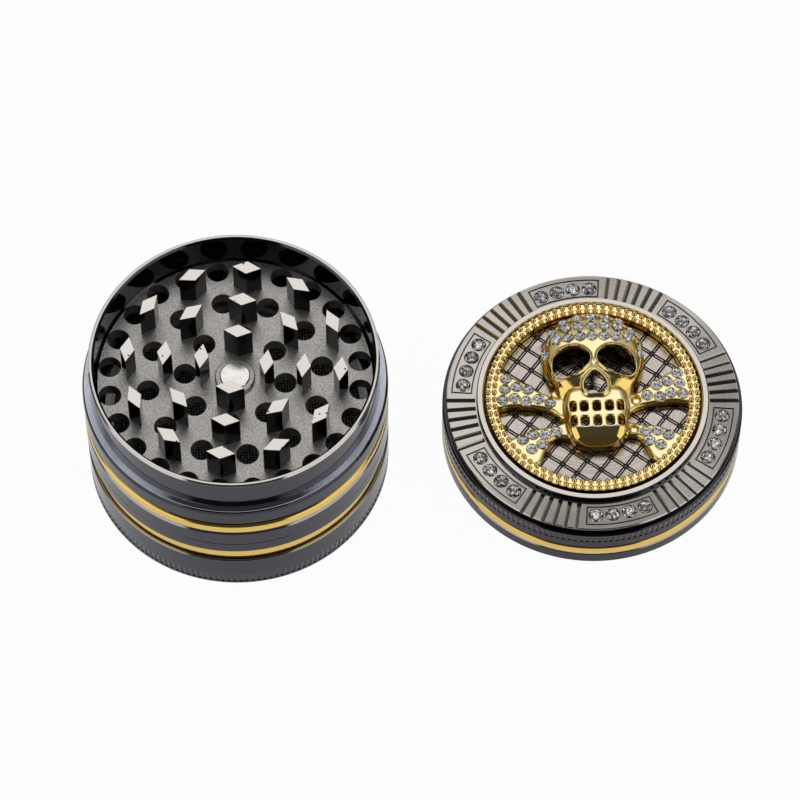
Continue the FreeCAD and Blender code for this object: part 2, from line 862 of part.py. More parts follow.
def make_bezel_stones():
    """Stones in the bezel's seats."""
    stone = cut_stone(num("bezel_stone_radius"))
    stone.translate(FreeCAD.Vector(0, num("stone_ring"), num("bezel_top")))
    item = shaped("bezel_stones", Part.makeCompound([around(stone, angle) for angle in stone_angles()]))
    return place_on_lid(item)


def make_lattice_plate():
    """Round plate behind the medallion."""
    plate = turned("lattice_plate", [
        (dim("pivot_radius"), dim("cap_top")),
        (dim("lattice_radius"), dim("cap_top")),
        (dim("lattice_radius"), dim("lattice_top")),
        (dim("pivot_radius"), dim("lattice_top")),
    ])
    return place_on_lid(plate)


# medallion and its pivot

def make_pivot():
    """Shouldered pin in the lid on which the medallion turns."""
    radius = dim("pivot_radius")
    pin = turned("medallion_pivot", [
        (0, dim("pivot_foot")),
        (radius, dim("pivot_foot")),
        (radius, dim("lattice_top")),
        (dim("pivot_flange_radius"), dim("lattice_top")),
        (dim("pivot_flange_radius"), dim("pivot_flange_top")),
        (radius, dim("pivot_flange_top")),
        (radius, dim("pivot_top") - dim("pivot_tip_height")),
        (dim("pivot_tip_radius"), dim("pivot_top")),
        (0, dim("pivot_top")),
    ])
    return place_on_lid(pin)


def make_clip():
    """Clip ring that keeps the medallion on its pin."""
    low = dim("clip_low")
    high = low + dim("clip_thickness")
    clip = turned("pivot_clip", [
        (dim("pivot_radius"), low),
        (dim("pivot_flange_radius"), low),
        (dim("pivot_flange_radius"), high),
        (dim("pivot_radius"), high),
    ])
    return place_on_lid(clip)


def make_bush():
    """Bush pressed into the medallion's web, running on the pin."""
    inner = dim("pivot_radius") + dim("bush_running_gap")
    bush = turned("pivot_bush", [
        (inner, dim("medal_low")),
        (dim("bush_outer_radius"), dim("medal_low")),
        (dim("bush_outer_radius"), dim("web_top")),
        (inner, dim("web_top")),
    ])
    return place_on_lid(bush)


def flat_piece(name, corners, low, high):
    """A straight-sided plate with a polygon outline."""
    body = new_body(name)
    sketch = polygon_sketch(body, f"{name}_outline", "XY_Plane", corners, low)
    plate = body.newObject("PartDesign::Pad", f"{name}_pad")
    plate.Profile = sketch
    bind(plate, "Length", high - low)
    doc.recompute()
    return body


def mirrored(corners):
    """The same outline on the other side of the skull's middle line."""
    return [(-across, up) for across, up in corners]


# outlines of the right-hand bone ends and of the jaw, seen from above, from the medallion's middle
UPPER_BONE = ((5.5, -5.4), (11.0, -2.6), (20.9, -1.6), (19.6, 6.6), (16.5, 5.5), (12.0, 2.6), (5.5, -1.6))
LOWER_BONE = ((4.5, -9.8), (9.0, -10.2), (10.0, -12.0), (13.1, -16.2), (18.0, -10.3), (13.5, -7.6),
              (4.5, -6.0))
JAW = ((-5.0, -12.2), (5.0, -12.2), (6.7, -9.8), (7.0, -2.0), (8.4, 4.0), (-8.4, 4.0), (-7.0, -2.0),
       (-6.7, -9.8))


def make_bones():
    """Four flared bone ends between the jaw and the ring."""
    outlines = {
        "upper_right_bone": UPPER_BONE,
        "upper_left_bone": mirrored(UPPER_BONE),
        "lower_right_bone": LOWER_BONE,
        "lower_left_bone": mirrored(LOWER_BONE),
    }
    low, high = dim("medal_low"), dim("bone_top")
    return [flat_piece(name, corners, low, high) for name, corners in outlines.items()]


# share of the cranium's radius and of its height at each corner of its dome, from the base to the middle
DOME = ((1.0, 0.0), (0.97, 0.42), (0.86, 0.78), (0.58, 0.96), (0.0, 1.0))


def make_dome(name, inset, foot):
    """The cranium's dome, drawn in by the inset and run down to the foot."""
    radius = dim("cranium_radius") - inset
    height = dim("cranium_height") - inset
    outline = [(radius * across, dim("medal_low") + height * up) for across, up in DOME]
    skirt = [] if foot.value == outline[0][1].value else [(radius, foot)]
    dome = turned(name, outline + [(0, foot)] + skirt)
    bind(dome, "Placement.Base.y", dim("cranium_centre"))
    return dome


def box_between(name, low, high):
    """A box from one driven corner to the other."""
    box = doc.addObject("Part::Box", name)
    for axis, size_name, start, end in zip("xyz", ("Length", "Width", "Height"), low, high):
        bind(box, f"Placement.Base.{axis}", start)
        bind(box, size_name, as_size(end) - as_size(start))
    return box


def face_hole(name, across, up, radius):
    """A round opening in the face, such as an eye socket."""
    hole = doc.addObject("Part::Cylinder", name)
    bind(hole, "Radius", radius)
    bind(hole, "Height", dim("cranium_height") * 2)
    bind(hole, "Placement.Base.x", across)
    bind(hole, "Placement.Base.y", up)
    bind(hole, "Placement.Base.z", dim("face_hole_low"))
    return hole


def bite_holes():
    """Two rows of openings between the teeth of the jaw."""
    holes = []
    for row in ("upper", "lower"):
        for column in (-1, 0, 1):
            middle = dim("bite_step") * column
            half_width = dim("bite_width") * 0.5
            half_height = dim("bite_height") * 0.5
            place = dim(f"{row}_bite")
            low = (middle - half_width, place - half_height, dim("face_hole_low"))
            high = (middle + half_width, place + half_height, dim("jaw_top") + dim("cutter_over"))
            holes.append(box_between(f"{row}_bite_hole_{column + 2}", low, high))
    return holes


def make_skull():
    """Hollow skull: domed cranium and straight jaw, open behind."""
    wall = dim("skull_wall")
    base = dim("medal_low")
    below = base - dim("hollow_margin")
    half_width = dim("jaw_hollow_half_width")
    jaw_low = (-half_width, dim("jaw_hollow_low"), below)
    jaw_high = (half_width, dim("jaw_hollow_high"), dim("jaw_top") - wall)
    eye_place, eye_radius = dim("eye_place"), dim("eye_radius")
    outside = fused("skull_outside", [
        make_dome("cranium", as_size(0), base),
        flat_piece("jaw", JAW, base, dim("jaw_top")),
    ])
    hollow = fused("skull_hollow", [
        make_dome("cranium_hollow", wall, below),
        box_between("jaw_hollow", jaw_low, jaw_high),
        face_hole("left_eye_hole", -dim("eye_spacing"), eye_place, eye_radius),
        face_hole("right_eye_hole", dim("eye_spacing"), eye_place, eye_radius),
        face_hole("nose_hole", 0, dim("nose_place"), dim("nose_radius")),
    ] + bite_holes())
    return boolean("Cut", "skull_shell", outside, hollow)


def make_medal_ring():
    """The round frame of the medallion."""
    inner, outer = dim("medal_ring_inner"), dim("medal_ring_outer")
    low, high = dim("medal_low"), dim("medal_ring_top")
    edge = dim("edge_break")
    return turned("medal_ring", [
        (inner, low),
        (outer, low),
        (outer, high - edge),
        (outer - edge, high),
        (inner + edge, high),
        (inner, high - edge),
    ])


def make_web():
    """Bar behind the skull that carries the pivot's bush."""
    half_length, half_width = dim("web_half_length"), dim("web_half_width")
    return box_between("web_bar", (-half_length, -half_width, dim("medal_low")),
                       (half_length, half_width, dim("web_top")))


def bush_bore():
    """Hole for the bush, through the web."""
    bore = doc.addObject("Part::Cylinder", "bush_bore")
    margin = dim("hollow_margin")
    bind(bore, "Radius", dim("bush_outer_radius"))
    bind(bore, "Height", dim("web_top") - dim("medal_low") + margin * 2)
    bind(bore, "Placement.Base.z", dim("medal_low") - margin)
    return bore


def dome_place(across, up):
    """Point and outward direction on the dome at a place seen from above."""
    radius, height = num("cranium_radius"), num("cranium_height")
    middle = FreeCAD.Vector(0, num("cranium_centre"), num("medal_low"))
    level = FreeCAD.Vector(across, up - middle.y, 0)
    share = level.Length / radius
    for (wide, low), (narrow, high) in zip(DOME, DOME[1:]):
        if narrow <= share <= wide:
            rise = low + (high - low) * (wide - share) / (wide - narrow)
            steepness = (high - low) * height / ((wide - narrow) * radius)
            normal = level.normalize() * steepness + FreeCAD.Vector(0, 0, 1)
            place = FreeCAD.Vector(across, up, middle.z + rise * height)
            return place, normal
    raise RuntimeError(f"no dome at {across}, {up}")


# each row of cranium stones: place up the face, stones, half the width that they span, drop at the row's ends
CRANIUM_ROWS = ((9.3, 2, 9.9, 0.0), (12.8, 9, 10.1, 0.8), (15.4, 7, 8.1, 1.0), (18.2, 5, 5.8, 1.0))
# places of the stones on the right-hand bone ends
UPPER_BONE_STONES = ((9.0, -1.3), (11.4, -0.3), (14.0, -0.7), (16.4, 0.1), (18.9, -0.2), (13.5, 2.05),
                     (15.8, 2.85), (18.3, 2.35), (18.0, 4.85))
LOWER_BONE_STONES = ((8.1, -8.2), (10.5, -8.9), (13.0, -8.8), (15.2, -9.95), (11.2, -11.1), (13.4, -12.2))
# seats on the right-hand bone ends whose stones are missing
EMPTY_SEATS = (UPPER_BONE_STONES[0], LOWER_BONE_STONES[0])


def dome_stones(radius):
    """Stones, or the seats for them, in rows over the cranium, each square to the dome."""
    stone = cut_stone(radius)
    stones = []
    for middle, count, span, drop in CRANIUM_ROWS:
        for index in range(count):
            side = index / (count - 1) * 2 - 1
            place, normal = dome_place(side * span, middle - drop * side ** 2)
            copy = stone.copy()
            copy.Placement = FreeCAD.Placement(place, FreeCAD.Rotation(FreeCAD.Vector(0, 0, 1), normal))
            stones.append(copy)
    return Part.makeCompound(stones)


def flat_stones(radius, missing=()):
    """Stones, or the seats for them, on the flat bone ends, apart from the missing ones."""
    stone = cut_stone(radius)
    stones = []
    for across, up in UPPER_BONE_STONES + LOWER_BONE_STONES:
        for side in (-1, 1):
            if (side * across, up) in missing:
                continue
            copy = stone.copy()
            copy.translate(FreeCAD.Vector(side * across, up, num("bone_top")))
            stones.append(copy)
    return Part.makeCompound(stones)


def make_medallion():
    """Skull, crossed bones and ring as one casting, with seats for its stones; returns the stones too."""
    casting = fused("casting", [make_medal_ring(), make_skull(), make_web()] + make_bones())
    bored = boolean("Cut", "bored_casting", casting, bush_bore())
    seat, stone = num("medal_seat_radius"), num("medal_stone_radius")
    seated = boolean("Cut", "skull_seats", bored, shaped("skull_seat_cutters", dome_stones(seat)))
    medallion = boolean("Cut", "medallion", seated, shaped("bone_seat_cutters", flat_stones(seat)))
    skull_stones = shaped("skull_stones", dome_stones(stone))
    bone_stones = shaped("bone_stones", flat_stones(stone, EMPTY_SEATS))
    return [place_on_lid(item) for item in (medallion, skull_stones, bone_stones)]


def check_document():
    """Stop if any object failed to build."""
    doc.recompute()
    for item in doc.Objects:
        if {"Invalid", "Error"} & set(item.State):
            raise RuntimeError(f"{item.Label} failed: {item.State}")


def write_parts(pieces):
    """Write each sub-part's shape, after every one of them has been found sound."""
    for piece in pieces:
        if piece.Shape.isNull() or not piece.Shape.isValid():
            raise RuntimeError(f"{piece.Label} has no valid shape")
    os.makedirs("parts", exist_ok=True)
    for piece in pieces:
        piece.Shape.exportStep(os.path.join("parts", f"{piece.Label}.step"))
        print(f"{piece.Label:24s} solids {len(piece.Shape.Solids):3d}  volume {piece.Shape.Volume:10.2f} mm3")


pieces = [
    make_catch_cup(),
    make_lower_band(),
    make_sieve_ring(),
    make_screen(),
    make_retainer(),
    make_upper_band(),
    make_chamber(),
    make_chamber_floor(),
    make_chamber_teeth(),
    make_chamber_magnet(),
    make_slip_ring(),
    make_lid_cap(),
    make_lid_teeth(),
    make_lid_magnet(),
    make_lid_band(),
    make_bezel(),
    make_bezel_stones(),
    make_lattice_plate(),
    make_pivot(),
    make_clip(),
    make_bush(),
] + make_medallion()
check_document()
write_parts(pieces)
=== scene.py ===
"""Looks of a hand grinder: a screwed metal body, standing open, and its lid lying beside it."""
import logging
import math
from dataclasses import dataclass
from enum import Enum
from random import Random
from typing import Iterable, Optional, Sequence, Union

import bmesh
import bpy
from mathutils import Matrix, Vector


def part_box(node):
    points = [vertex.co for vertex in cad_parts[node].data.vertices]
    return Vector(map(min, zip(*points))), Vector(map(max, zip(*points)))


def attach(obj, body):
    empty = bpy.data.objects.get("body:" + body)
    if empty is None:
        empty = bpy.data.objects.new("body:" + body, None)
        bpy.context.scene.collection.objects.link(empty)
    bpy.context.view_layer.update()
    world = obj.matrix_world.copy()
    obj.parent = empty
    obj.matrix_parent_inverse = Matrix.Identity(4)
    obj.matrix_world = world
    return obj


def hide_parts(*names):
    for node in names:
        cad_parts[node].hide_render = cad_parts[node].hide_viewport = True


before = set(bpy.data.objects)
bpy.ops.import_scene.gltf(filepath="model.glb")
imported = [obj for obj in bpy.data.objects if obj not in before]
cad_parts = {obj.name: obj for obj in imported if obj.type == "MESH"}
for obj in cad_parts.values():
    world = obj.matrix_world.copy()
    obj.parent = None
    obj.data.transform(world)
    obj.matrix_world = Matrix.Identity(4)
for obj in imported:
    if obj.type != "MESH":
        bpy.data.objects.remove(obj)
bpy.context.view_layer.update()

log = logging.getLogger("grinder")

MM = 0.001
PER_METRE = 1000.0
TURN = 2 * math.pi
Colour = tuple[float, float, float]
Point = tuple[float, float]
Zone = tuple[float, float, float, Colour]
Seat = tuple[Vector, Vector]
Socket = bpy.types.NodeSocket
Feed = Union[Socket, float, Sequence[float]]


class Axis(Enum):
    """The upright axes that turned pieces are centred on, each named by a node that it runs through."""

    BODY = "catch_cup"
    LID = "lid_cap"

    def centre(self) -> Vector:
        """The foot of the axis, in millimetres."""
        low, high = (Vector(corner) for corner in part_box(self.value))
        return Vector(((low.x + high.x) / 2, (low.y + high.y) / 2, 0)) / MM

    def matrix(self, turn: float = 0.0) -> Matrix:
        """The step from millimetres about this axis, turned by degrees, to the row frame in metres."""
        about = Matrix.Rotation(math.radians(turn), 4, "Z")
        return Matrix.Scale(MM, 4) @ Matrix.Translation(self.centre()) @ about


def node_heights(node: str) -> tuple[float, float]:
    """The lowest and highest level of a CAD node, in millimetres."""
    low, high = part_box(node)
    return low[2] / MM, high[2] / MM


# shader nodes

class Effect(Enum):
    """Surface effects that several finishes share."""

    TURNED = "turned lines"
    GRAIN = "cast grain"
    HANDLING = "handling marks"
    EDGES = "soft edges"


class Graph:
    """A shader node tree being filled, with one call for each kind of node that the finishes need."""

    def __init__(self, tree: bpy.types.NodeTree) -> None:
        """Start on a tree, which new nodes go into."""
        self.tree = tree

    def feed(self, socket: Socket, value: Feed) -> None:
        """Link a socket to another one, or set its own value.

        Args:
            socket: the input to feed.
            value: another node's output, or a plain value.
        """
        if isinstance(value, Socket):
            self.tree.links.new(value, socket)
        else:
            socket.default_value = value

    def fill(self, node: bpy.types.Node, feeds: dict) -> None:
        """Feed several inputs of a node, by name or number."""
        for name, value in feeds.items():
            self.feed(node.inputs[name], value)

    def node(self, kind: str, feeds: Optional[dict] = None, **settings: object) -> bpy.types.Node:
        """Add a node.

        Args:
            kind: the node's type without the leading ShaderNode.
            feeds: values or sockets by input name or number.
            settings: the node's own properties.

        Returns:
            The new node.
        """
        made = self.tree.nodes.new("ShaderNode" + kind)
        for name, value in settings.items():
            setattr(made, name, value)
        self.fill(made, feeds or {})
        return made

    def math(self, operation: str, *values: Feed) -> Socket:
        """The result of one sum on the values."""
        return self.node("Math", dict(enumerate(values)), operation=operation).outputs[0]

    def product(self, first: Feed, *others: Feed) -> Socket:
        """All the values multiplied together.

        Args:
            first: one value.
            others: the values that it is multiplied by.

        Returns:
            The product.
        """
        for other in others:
            first = self.math("MULTIPLY", first, other)
        return first

    def vector(self, operation: str, *values: Feed) -> bpy.types.bpy_prop_collection:
        """The results of one sum on vectors, by name."""
        return self.node("VectorMath", dict(enumerate(values)), operation=operation).outputs

    def blend(self, share: Feed, low: Union[Colour, Socket], high: Union[Colour, Socket]) -> Socket:
        """A colour between two, by share."""
        feeds = {0: share, 6: as_rgba(low), 7: as_rgba(high)}
        return self.node("Mix", feeds, data_type="RGBA").outputs[2]

    def between(self, share: Feed, low: Feed, high: Feed) -> Socket:
        """A number between two, by share."""
        return self.node("Mix", {0: share, 2: low, 3: high}, data_type="FLOAT").outputs[0]

    def step(self, value: Feed, start: float, end: float) -> Socket:
        """A soft step from 0 at start to 1 at end."""
        feeds = {"Value": value, "From Min": start, "From Max": end}
        return self.node("MapRange", feeds, interpolation_type="SMOOTHSTEP").outputs["Result"]

    def noise(self, place: Socket, scale: Feed, detail: float = 2.0) -> Socket:
        """Soft noise about 0.5."""
        return self.node("TexNoise", {"Vector": place, "Scale": scale, "Detail": detail}).outputs[0]

    def pits(self, place: Socket, scale: Feed) -> Socket:
        """Distance to the nearest of many scattered points."""
        return self.node("TexVoronoi", {"Vector": place, "Scale": scale}).outputs["Distance"]

    def bump(self, height: Feed, depth: float, normal: Optional[Socket] = None) -> Socket:
        """A normal tilted by a height.

        Args:
            height: the height, from 0 to 1.
            depth: how high 1 is, in metres.
            normal: the normal to tilt, or none for the surface's own.

        Returns:
            The tilted normal.
        """
        feeds = {"Height": height, "Distance": depth, "Strength": 1.0}
        if normal is not None:
            feeds["Normal"] = normal
        return self.node("Bump", feeds).outputs["Normal"]

    def place(self, axis: Axis, turn: float = 0.0) -> Socket:
        """Object coordinates in millimetres about an axis.

        Args:
            axis: the axis.
            turn: how far the pattern is turned about it, in radians.

        Returns:
            The coordinates.
        """
        texture = self.node("TexCoord").outputs["Object"]
        centred = self.node("Mapping", {"Vector": texture, "Location": -axis.centre(),
                                        "Scale": (PER_METRE, PER_METRE, PER_METRE)}).outputs["Vector"]
        if not turn:
            return centred
        return self.node("Mapping", {"Vector": centred, "Rotation": (0, 0, -turn)}).outputs["Vector"]

    def split(self, place: Socket) -> tuple[Socket, Socket, Socket]:
        """The three parts of a vector."""
        parts = self.node("SeparateXYZ", {0: place}).outputs
        return parts[0], parts[1], parts[2]

    def flat(self, place: Socket) -> Socket:
        """A place without its height."""
        return self.vector("MULTIPLY", place, (1, 1, 0))["Vector"]

    def radius(self, place: Socket) -> Socket:
        """Distance from the axis."""
        return self.vector("LENGTH", self.flat(place))["Value"]

    def upward(self, normal: str = "Normal") -> Socket:
        """How far the surface faces up, by its shaded normal or its true one."""
        return self.split(self.node("NewGeometry").outputs[normal])[2]

    def tipped(self, place: Socket, normal: Socket, share: Feed) -> Socket:
        """A normal tipped outwards from the axis.

        Args:
            place: millimetres about the axis.
            normal: the normal to tip.
            share: how far, as a tangent.

        Returns:
            The tipped normal.
        """
        outward = self.vector("NORMALIZE", self.flat(place))["Vector"]
        turned = self.node("VectorTransform", {0: outward}, vector_type="VECTOR", convert_from="OBJECT",
                           convert_to="WORLD").outputs[0]
        tip = self.node("VectorMath", {0: turned, "Scale": share}, operation="SCALE").outputs["Vector"]
        return self.vector("NORMALIZE", self.vector("ADD", normal, tip)["Vector"])["Vector"]

    def effect(self, effect: Effect, **feeds: Feed) -> bpy.types.bpy_prop_collection:
        """The outputs of one of the shared effects, whose inputs are fed by name."""
        return self.node("Group", feeds, node_tree=effect_group(effect)).outputs

    def smudges(self, place: Socket, patch: float) -> Socket:
        """A mask of handling marks in patches of about this size, in millimetres."""
        return self.effect(Effect.HANDLING, Place=place, Patch=patch)["Smudge"]

    def rings(self, place: Socket, pitch: float) -> Socket:
        """The height of turned lines, about a pitch in millimetres apart."""
        return self.effect(Effect.TURNED, Place=place, Pitch=pitch)["Height"]


def as_rgba(colour: Union[Colour, Socket]) -> Union[Socket, tuple]:
    """A colour with its alpha, or the socket as it is."""
    return colour if isinstance(colour, Socket) else (*colour, 1.0)


def effect_group(effect: Effect) -> bpy.types.NodeTree:
    """The node group of an effect, built on first use.

    Args:
        effect: which effect.

    Returns:
        The group's tree.
    """
    known = bpy.data.node_groups.get(effect.value)
    if known is not None:
        return known
    builders = {Effect.TURNED: turned_group, Effect.GRAIN: grain_group,
                Effect.HANDLING: handling_group, Effect.EDGES: edges_group}
    return builders[effect](effect.value)


class Group:
    """A node group in the making, with its sockets."""

    VECTOR = "NodeSocketVector"
    NUMBER = "NodeSocketFloat"

    def __init__(self, name: str, inputs: dict[str, str], outputs: dict[str, str]) -> None:
        """Make the group's tree and sockets.

        Args:
            name: the group's name.
            inputs: socket types by input name.
            outputs: socket types by output name.
        """
        self.tree = bpy.data.node_groups.new(name, "ShaderNodeTree")
        for side, sockets in (("INPUT", inputs), ("OUTPUT", outputs)):
            for label, kind in sockets.items():
                self.tree.interface.new_socket(name=label, in_out=side, socket_type=kind)
        self.graph = Graph(self.tree)
        self.given = self.tree.nodes.new("NodeGroupInput").outputs
        self.result = self.tree.nodes.new("NodeGroupOutput").inputs


def turned_group(name: str) -> bpy.types.NodeTree:
    """Fine rings left by the lathe: noise that depends on radius and height alone.

    Args:
        name: the group's name.

    Returns:
        The group's tree.
    """
    group = Group(name, {"Place": Group.VECTOR, "Pitch": Group.NUMBER}, {"Height": Group.NUMBER})
    graph = group.graph
    place = group.given["Place"]
    section = graph.node("CombineXYZ", {0: graph.radius(place), 1: graph.split(place)[2]}).outputs[0]
    scale = graph.math("DIVIDE", 1.0, group.given["Pitch"])
    graph.feed(group.result["Height"], graph.noise(section, scale, detail=3.0))
    return group.tree


def grain_group(name: str) -> bpy.types.NodeTree:
    """Cast or blasted skin: fine grain, with scattered pits.

    Args:
        name: the group's name.

    Returns:
        The group's tree.
    """
    group = Group(name, {"Place": Group.VECTOR, "Grain": Group.NUMBER},
                  {"Height": Group.NUMBER, "Pits": Group.NUMBER})
    graph = group.graph
    pit_share = 0.22
    scale = graph.math("DIVIDE", 1.0, group.given["Grain"])
    graph.feed(group.result["Height"], graph.noise(group.given["Place"], scale, detail=4.0))
    pits = graph.pits(group.given["Place"], graph.product(scale, pit_share))
    graph.feed(group.result["Pits"], graph.step(pits, start=0.16, end=0.05))
    return group.tree


def handling_group(name: str) -> bpy.types.NodeTree:
    """Soft smudges from handling, broken up at two sizes.

    Args:
        name: the group's name.

    Returns:
        The group's tree.
    """
    group = Group(name, {"Place": Group.VECTOR, "Patch": Group.NUMBER}, {"Smudge": Group.NUMBER})
    graph = group.graph
    finer = 9.0
    scale = graph.math("DIVIDE", 1.0, group.given["Patch"])
    broad = graph.step(graph.noise(group.given["Place"], scale, detail=4.0), start=0.4, end=0.68)
    fine = graph.noise(group.given["Place"], graph.product(scale, finer))
    graph.feed(group.result["Smudge"], graph.product(broad, fine))
    return group.tree


def edges_group(name: str) -> bpy.types.NodeTree:
    """Slightly rounded edges for shading, and a mask of where they are.

    Args:
        name: the group's name.

    Returns:
        The group's tree.
    """
    group = Group(name, {"Radius": Group.NUMBER}, {"Normal": Group.VECTOR, "WearAndSheen": Group.NUMBER})
    graph = group.graph
    soft = graph.node("Bevel", {"Radius": group.given["Radius"]}, samples=4).outputs["Normal"]
    plain = graph.node("NewGeometry").outputs["Normal"]
    likeness = graph.vector("DOT_PRODUCT", soft, plain)["Value"]
    graph.feed(group.result["Normal"], soft)
    # the edge mask, which turned metal uses to paint its edges paler: partly wear, partly a painted highlight
    graph.feed(group.result["WearAndSheen"], graph.step(likeness, start=0.985, end=0.9))
    return group.tree


# finishes

@dataclass(frozen=True)
class Finish:
    """A procedural surface on one Principled shader; each kind paints its own nodes."""

    name: str
    axis: Axis

    def material(self) -> bpy.types.Material:
        """The finish as a material, made on first use.

        Returns:
            The material.
        """
        known = bpy.data.materials.get(self.name)
        if known is not None:
            return known
        material = bpy.data.materials.new(self.name)
        material.use_nodes = True
        material.node_tree.nodes.clear()
        graph = Graph(material.node_tree)
        shader = graph.node("BsdfPrincipled")
        graph.node("OutputMaterial", {"Surface": shader.outputs["BSDF"]})
        graph.fill(shader, self.paint(graph))
        return material

    def paint(self, graph: Graph) -> dict:
        """What feeds the shader's sockets, by name; every kind of finish has its own."""
        raise NotImplementedError


@dataclass(frozen=True)
class TurnedMetal(Finish):
    """Plated or bare metal off the lathe: fine rings, smudges and soft edges painted paler, partly as wear
    and partly as a painted highlight.
    """

    colour: Colour = (0.1, 0.1, 0.1)
    # colour of the edges: partly wear, partly a painted highlight along them
    edge_wear_and_sheen: Colour = (0.3, 0.3, 0.3)
    roughness: float = 0.045
    smudge: float = 0.06
    pitch: float = 0.16
    depth: float = 0.8e-6
    edge: float = 0.8e-4
    bare: tuple[Zone, ...] = ()
    crown: Optional[tuple[float, float]] = None
    ribs: Optional[tuple[float, float, float]] = None

    PATCH = 6.0
    CROWN_SHARE = 0.07
    RIB_PITCH = 0.24
    RIB_DEPTH = 1.2e-5
    RIB_LEAN = 0.22

    def within(self, graph: Graph, place: Socket, low: float, high: float, inner: float) -> Socket:
        """A mask of what lies between two levels and outside a radius.

        Args:
            graph: the material's tree.
            place: millimetres about the axis.
            low: the lower level.
            high: the upper level.
            inner: the radius.

        Returns:
            The mask.
        """
        level = graph.split(place)[2]
        return graph.product(graph.math("GREATER_THAN", level, low), graph.math("LESS_THAN", level, high),
                             graph.math("GREATER_THAN", graph.radius(place), inner))

    def crowned(self, graph: Graph, place: Socket, normal: Socket) -> Socket:
        """The normal of a face that is rounded from the crown's lower level to its upper one.

        Args:
            graph: the material's tree.
            place: millimetres about the axis.
            normal: the normal of the plain face.

        Returns:
            The new normal.
        """
        low, high = self.crown
        feeds = {"Value": graph.split(place)[2], "From Min": low, "From Max": high, "To Min": -1.0}
        across = graph.node("MapRange", feeds).outputs["Result"]
        rise = graph.math("SUBTRACT", 1.0, graph.product(across, across))
        return graph.bump(rise, self.CROWN_SHARE * (high - low) * MM, normal)

    def ribbed(self, graph: Graph, place: Socket, normal: Socket) -> Socket:
        """The normal of a ledge that falls outwards, with coarse round ribs where the lathe tool left them.

        Args:
            graph: the material's tree.
            place: millimetres about the axis.
            normal: the normal of the plain ledge.

        Returns:
            The new normal.
        """
        wave = graph.math("SINE", graph.product(graph.radius(place), TURN / self.RIB_PITCH))
        mask = self.within(graph, place, *self.ribs)
        falling = graph.tipped(place, normal, graph.product(mask, self.RIB_LEAN))
        return graph.bump(graph.product(mask, wave), self.RIB_DEPTH, falling)

    def paint(self, graph: Graph) -> dict:
        """Metal with rings as bump, roughness by smudges, paler edges that are partly wear and partly a
        painted highlight, and stretches cut bare.

        Args:
            graph: the material's tree.

        Returns:
            What feeds the shader, by socket.
        """
        place = graph.place(self.axis)
        edges = graph.effect(Effect.EDGES, Radius=self.edge)
        # edges painted paler: partly wear, partly a painted highlight along the edges
        shade = graph.blend(edges["WearAndSheen"], self.colour, self.edge_wear_and_sheen)
        for low, high, inner, colour in self.bare:
            shade = graph.blend(self.within(graph, place, low, high, inner), shade, colour)
        normal = edges["Normal"]
        if self.crown:
            normal = self.crowned(graph, place, normal)
        if self.ribs:
            normal = self.ribbed(graph, place, normal)
        marks = graph.smudges(place, self.PATCH)
        return {"Metallic": 1.0, "Base Color": shade,
                "Roughness": graph.math("MULTIPLY_ADD", marks, self.smudge, self.roughness),
                "Normal": graph.bump(graph.rings(place, self.pitch), self.depth, normal)}


@dataclass(frozen=True)
class BlastedMetal(Finish):
    """Sand-blasted plating with a fine grain and a few darker pits."""

    colour: Colour = (0.86, 0.83, 0.79)
    pit: Colour = (0.45, 0.43, 0.4)

    GRAIN = 0.2
    DARK_GRAIN = (0.62, 0.36)
    EDGE = 1.5e-4
    ROUGHNESS = 0.36
    GRAIN_ROUGHNESS = 0.16
    DEPTH = 1.6e-5

    def paint(self, graph: Graph) -> dict:
        """Metal with grain as bump and colour.

        Args:
            graph: the material's tree.

        Returns:
            What feeds the shader, by socket.
        """
        skin = graph.effect(Effect.GRAIN, Place=graph.place(self.axis), Grain=self.GRAIN)
        edges = graph.effect(Effect.EDGES, Radius=self.EDGE)
        shade = graph.blend(graph.step(skin["Height"], *self.DARK_GRAIN), self.colour, self.pit)
        return {"Metallic": 1.0, "Base Color": graph.blend(skin["Pits"], shade, self.pit),
                "Roughness": graph.math("MULTIPLY_ADD", skin["Height"], self.GRAIN_ROUGHNESS, self.ROUGHNESS),
                "Normal": graph.bump(skin["Height"], self.DEPTH, edges["Normal"])}


@dataclass(frozen=True)
class ToothMetal(Finish):
    """Dark glossy flanks, and flat ends ground to bare metal with a few casting pores."""

    flat: float = 0.0
    flank: Colour = (0.03, 0.029, 0.036)
    ground: Colour = (0.73, 0.685, 0.65)
    pore: Colour = (0.04, 0.035, 0.03)

    GROUND_BAND = (0.09, 0.03)
    PORE_SCALE = 0.5
    PORE_EDGE = (0.13, 0.1)
    GRAIN = 0.09
    EDGE = 1.0e-4
    FLANK_ROUGHNESS = 0.14
    GROUND_ROUGHNESS = 0.19
    FLANK_GRAIN = 0.25
    DEPTH = 3e-6

    def paint(self, graph: Graph) -> dict:
        """Two finishes told apart by the level of the ground ends.

        Args:
            graph: the material's tree.

        Returns:
            What feeds the shader, by socket.
        """
        place = graph.place(self.axis)
        away = graph.math("ABSOLUTE", graph.math("SUBTRACT", graph.split(place)[2], self.flat))
        ground = graph.step(away, *self.GROUND_BAND)
        skin = graph.effect(Effect.GRAIN, Place=place, Grain=self.GRAIN)
        edges = graph.effect(Effect.EDGES, Radius=self.EDGE)
        pores = graph.step(graph.pits(place, self.PORE_SCALE), *self.PORE_EDGE)
        bare = graph.blend(pores, self.ground, self.pore)
        depth = graph.product(skin["Height"], graph.between(ground, self.FLANK_GRAIN, 1.0))
        return {"Metallic": 1.0, "Base Color": graph.blend(ground, self.flank, bare),
                "Roughness": graph.between(ground, self.FLANK_ROUGHNESS, self.GROUND_ROUGHNESS),
                "Normal": graph.bump(depth, self.DEPTH, edges["Normal"])}


